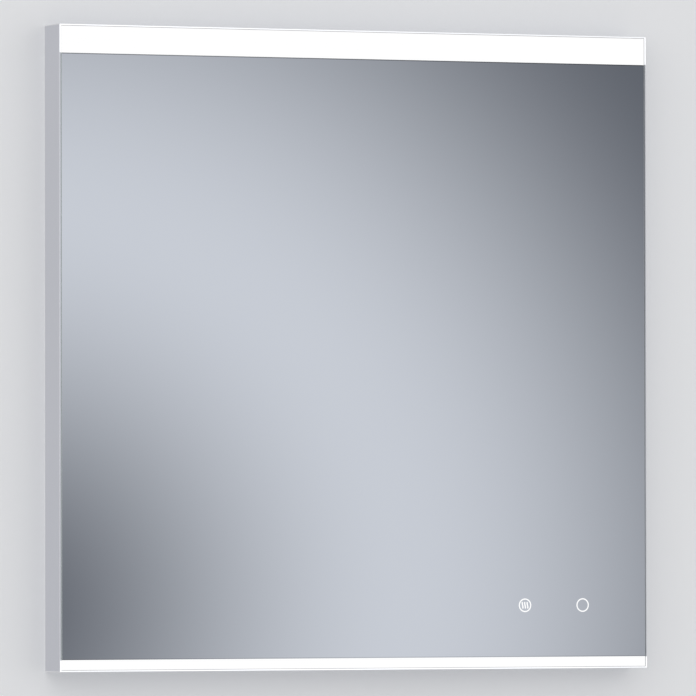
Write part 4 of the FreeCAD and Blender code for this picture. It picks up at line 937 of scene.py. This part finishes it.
# %% Finishes of the measured parts
finish_of = {
    anodised_level: ["frame_top", "frame_bottom"],
    anodised_upright: ["frame_left", "frame_right"],
    mill_aluminium: ["corner_keys", "top_light_tray", "bottom_light_tray"],
    galvanised_sheet: ["upper_cross_rail", "lower_cross_rail", "rail_spacers", "rear_cover"],
    zinc_plate: ["corner_key_screws", "hook_nuts"],
    foam: ["glass_tape"],
    mirror_paint: ["silver_backing"],
    opal: ["top_diffuser", "bottom_diffuser"],
    circuit_board: ["top_led_board", "bottom_led_board", "driver_board", "sensor_boards"],
    chip: ["top_leds", "bottom_leds"],
    black_rubber: ["gland_seal"],
    white_plastic: ["driver_case", "driver_lid", "icon_windows", "lead_clips"],
    grey_plastic: ["terminal_box", "terminal_block", "demister_sensor_case", "light_sensor_case"],
    black_plastic: ["gland_locknut", "driver_components"],
    heating_film: ["demister_pad"],
    lead_sheath: ["mains_lead", "light_feed_lead", "demister_feed_lead", "demister_lead",
                  "top_light_lead", "bottom_light_lead"],
}
for material, names in finish_of.items():
    for name in names:
        nodes[name].data.materials.clear()
        nodes[name].data.materials.append(material)
hidden = {name for name in nodes if nodes[name].hide_render}
finished = {name for names in finish_of.values() for name in names}
print("parts without a finish:", sorted(set(nodes) - finished - hidden))

# %% [markdown]
# The mirror hangs on a pale wall above a pale floor. Sheets that end would show as edges in side
# views, so both fade out round the mirror. The wall would hide the mirror from behind: Backfacing
# tells the shader which side a ray meets, so that side stays clear. The wall is kept paler than the
# frame's side by a faint glow of its own, because more light would brighten the frame as well.

# %% Wall and floor
def make_fade_effect():
    """Mask that is 1 near the centre and falls to 0 between two distances in metres."""
    tree, recipe, given, wanted = new_effect("fade_out", {
        "Vector": (0, 0, 0), "Near": 0.8, "Far": 1.6})
    distance = recipe.add("ShaderNodeVectorMath", operation="LENGTH")
    recipe.join(given["Vector"], distance.inputs[0])
    recipe.join(recipe.fall(distance.outputs["Value"], given["Near"], given["Far"]), wanted)
    return tree


fade_out = make_fade_effect()
mirror_middle = (cad_low + cad_high) / 2
floor_drop = 0.5
wall_gap = 0.5 * MM
wall_lift = 0.13
wall_width = 4
floor_width = 6
matt = 0.9
cloud_dip = 0.985


def stage_finish(name, colour, centre, near, far, lift=0.0):
    """Matt paint that fades out between two distances from the centre, lifted by a glow."""
    material, recipe, shader = new_finish(name)
    vector = recipe.coordinates(centre=centre)
    mask = use_effect(recipe, uneven, vector, Cloud_Scale=0.4, Mark_Scale=90, Mark_Share=0.3)
    recipe.join(recipe.blend(mask, scaled(colour, cloud_dip), colour), shader.inputs["Base Color"])
    shader.inputs["Roughness"].default_value = matt
    shader.inputs["Emission Color"].default_value = colour
    shader.inputs["Emission Strength"].default_value = lift
    shown = use_effect(recipe, fade_out, vector, Near=near, Far=far)
    side = recipe.add("ShaderNodeNewGeometry")
    facing = recipe.math("SUBTRACT", 1.0, side.outputs["Backfacing"])
    recipe.join(recipe.math("MULTIPLY", shown, facing), shader.inputs["Alpha"])
    return material


def make_sheet(name, place, turn, width, material, unseen_by=()):
    """Flat square of the stage, facing where turn sends the upward normal."""
    bm = bmesh.new()
    bmesh.ops.create_grid(bm, x_segments=1, y_segments=1, size=width / 2,
                          matrix=Matrix.Translation(place) @ turn)
    mesh = bpy.data.meshes.new(name)
    bm.to_mesh(mesh)
    bm.free()
    mesh.materials.append(material)
    sheet = bpy.data.objects.new(name, mesh)
    bpy.context.collection.objects.link(sheet)
    for ray in unseen_by:
        setattr(sheet, f"visible_{ray}", False)


wall_centre = Vector((mirror_middle.x, wall_gap, mirror_middle.z))
floor_centre = Vector((mirror_middle.x, 0, cad_low.z - floor_drop))
wall_paint = stage_finish("wall_paint", rgb(239, 240, 242), wall_centre, near=0.75, far=1.7,
                          lift=wall_lift)
floor_paint = stage_finish("floor_paint", grey(226), floor_centre, near=0.9, far=2.6)
make_sheet("wall", wall_centre, facing_room, wall_width, wall_paint,
           unseen_by=["diffuse", "glossy", "transmission", "shadow"])
make_sheet("floor", floor_centre, Matrix.Identity(4), floor_width, floor_paint,
           unseen_by=["glossy"])
print("wall and floor stand round", [round(value, 2) for value in mirror_middle])

# %% [markdown]
# A mirror shows only what stands before it. The photograph shows a soft sweep from dark to bright
# and back to dark, so a large card stands in front of the glass with such a sweep on it, round a
# dark spot. Real studio cards would do the same. Only mirror rays see this one, so it neither
# lights the room nor hides the mirror.

# %% Card that the mirror shows
card_distance = 1.15
card_width = 8
sweep_centre = Vector((-0.054, 0, -0.619))
sweep_reach = Vector((1.209, 1, 1.084))
sweep_span = 2.0
dark_grey = 100
bright_grey = 206
cool_cast = (-4, 0, 8)
sweep_greys = [(0.0, dark_grey), (0.52, bright_grey), (1.12, dark_grey), (2.0, bright_grey)]


def card_finish():
    """Glowing paper whose brightness depends on the distance from the dark spot."""
    material, recipe = bare_material("sweep_card")
    stretch = (1 / (sweep_reach.x * sweep_span), 0, 1 / (sweep_reach.z * sweep_span))
    distance = recipe.add("ShaderNodeVectorMath", operation="LENGTH")
    recipe.join(recipe.coordinates(stretch, sweep_centre), distance.inputs[0])
    ramp = recipe.add("ShaderNodeValToRGB")
    ramp.color_ramp.interpolation = "EASE"
    stops = ramp.color_ramp.elements
    stops.remove(stops[1])
    for index, (share, level) in enumerate(sweep_greys):
        stop = stops[0] if index == 0 else stops.new(share / sweep_span)
        stop.position = share / sweep_span
        stop.color = rgb(*(level + step for step in cool_cast))
    recipe.join(distance.outputs["Value"], ramp.inputs["Fac"])
    glow = recipe.add("ShaderNodeEmission")
    recipe.join(ramp.outputs["Color"], glow.inputs["Color"])
    output = recipe.add("ShaderNodeOutputMaterial")
    recipe.join(glow.outputs["Emission"], output.inputs["Surface"])
    return material


card_place = (0, cad_low.y - card_distance, 0)
make_sheet("sweep_card", card_place, facing_room, card_width, card_finish(),
           unseen_by=["camera", "diffuse", "transmission", "shadow"])
print("card stands", card_distance, "m before the glass")

# %% [markdown]
# Large lamps far away give soft and even light: one over the left shoulder, a fill from the right
# and two behind for the rear views. Small near lamps would be simpler, but the metal would mirror
# them as burnt spots, and their light would fall off over the height of the frame.

# %% Lamps
def make_lamp(name, place, width, watts):
    """Square lamp that faces the mirror and stays out of the picture itself."""
    lamp_data = bpy.data.lights.new(name, "AREA")
    lamp_data.shape = "SQUARE"
    lamp_data.size = width
    lamp_data.energy = watts
    lamp = bpy.data.objects.new(name, lamp_data)
    aim = (mirror_middle - Vector(place)).to_track_quat("-Z", "Y").to_matrix().to_4x4()
    lamp.matrix_world = Matrix.Translation(place) @ aim
    lamp.visible_camera = False
    bpy.context.collection.objects.link(lamp)


make_lamp("key", (-3.6, -5.2, 2.6), width=9, watts=165)
make_lamp("fill", (4.2, -5.0, 0.6), width=7, watts=80)
make_lamp("rear", (5.2, 5.2, 3.2), width=9, watts=130)
make_lamp("rear_fill", (-6.0, 2.6, 0.6), width=5, watts=40)

# %% [markdown]
# The sky fills the shadows. What the camera sees of it, straight or in a reflection, is a plain
# pale grey, while its light on the mirror is set apart from that: Light Path tells the two kinds of
# ray apart. One strength for both would be simpler, but it would tie the backdrop to the shadows.

# %% Sky
sky_light = 0.42
sky_shade = rgb(206, 207, 209)


def make_sky():
    """World whose look and whose light are set apart."""
    world = bpy.data.worlds.new("sky")
    world.use_nodes = True
    world.node_tree.nodes.clear()
    recipe = Recipe(world.node_tree)
    rays = recipe.add("ShaderNodeLightPath")
    seen = rays.outputs["Is Camera Ray"]
    for ray in ("Is Glossy Ray", "Is Transmission Ray"):
        seen = recipe.math("MAXIMUM", seen, rays.outputs[ray])
    light = recipe.add("ShaderNodeBackground")
    light.inputs["Color"].default_value = grey(255)
    light.inputs["Strength"].default_value = sky_light
    shown = recipe.add("ShaderNodeBackground")
    shown.inputs["Color"].default_value = sky_shade
    mix = recipe.add("ShaderNodeMixShader")
    recipe.join(seen, mix.inputs["Fac"])
    recipe.join(light.outputs["Background"], mix.inputs[1])
    recipe.join(shown.outputs["Background"], mix.inputs[2])
    output = recipe.add("ShaderNodeOutputWorld")
    recipe.join(mix.outputs["Shader"], output.inputs["Surface"])
    return world


bpy.context.scene.world = make_sky()
bpy.context.scene.view_settings.view_transform = "Standard"
print("sky:", bpy.context.scene.world.name)
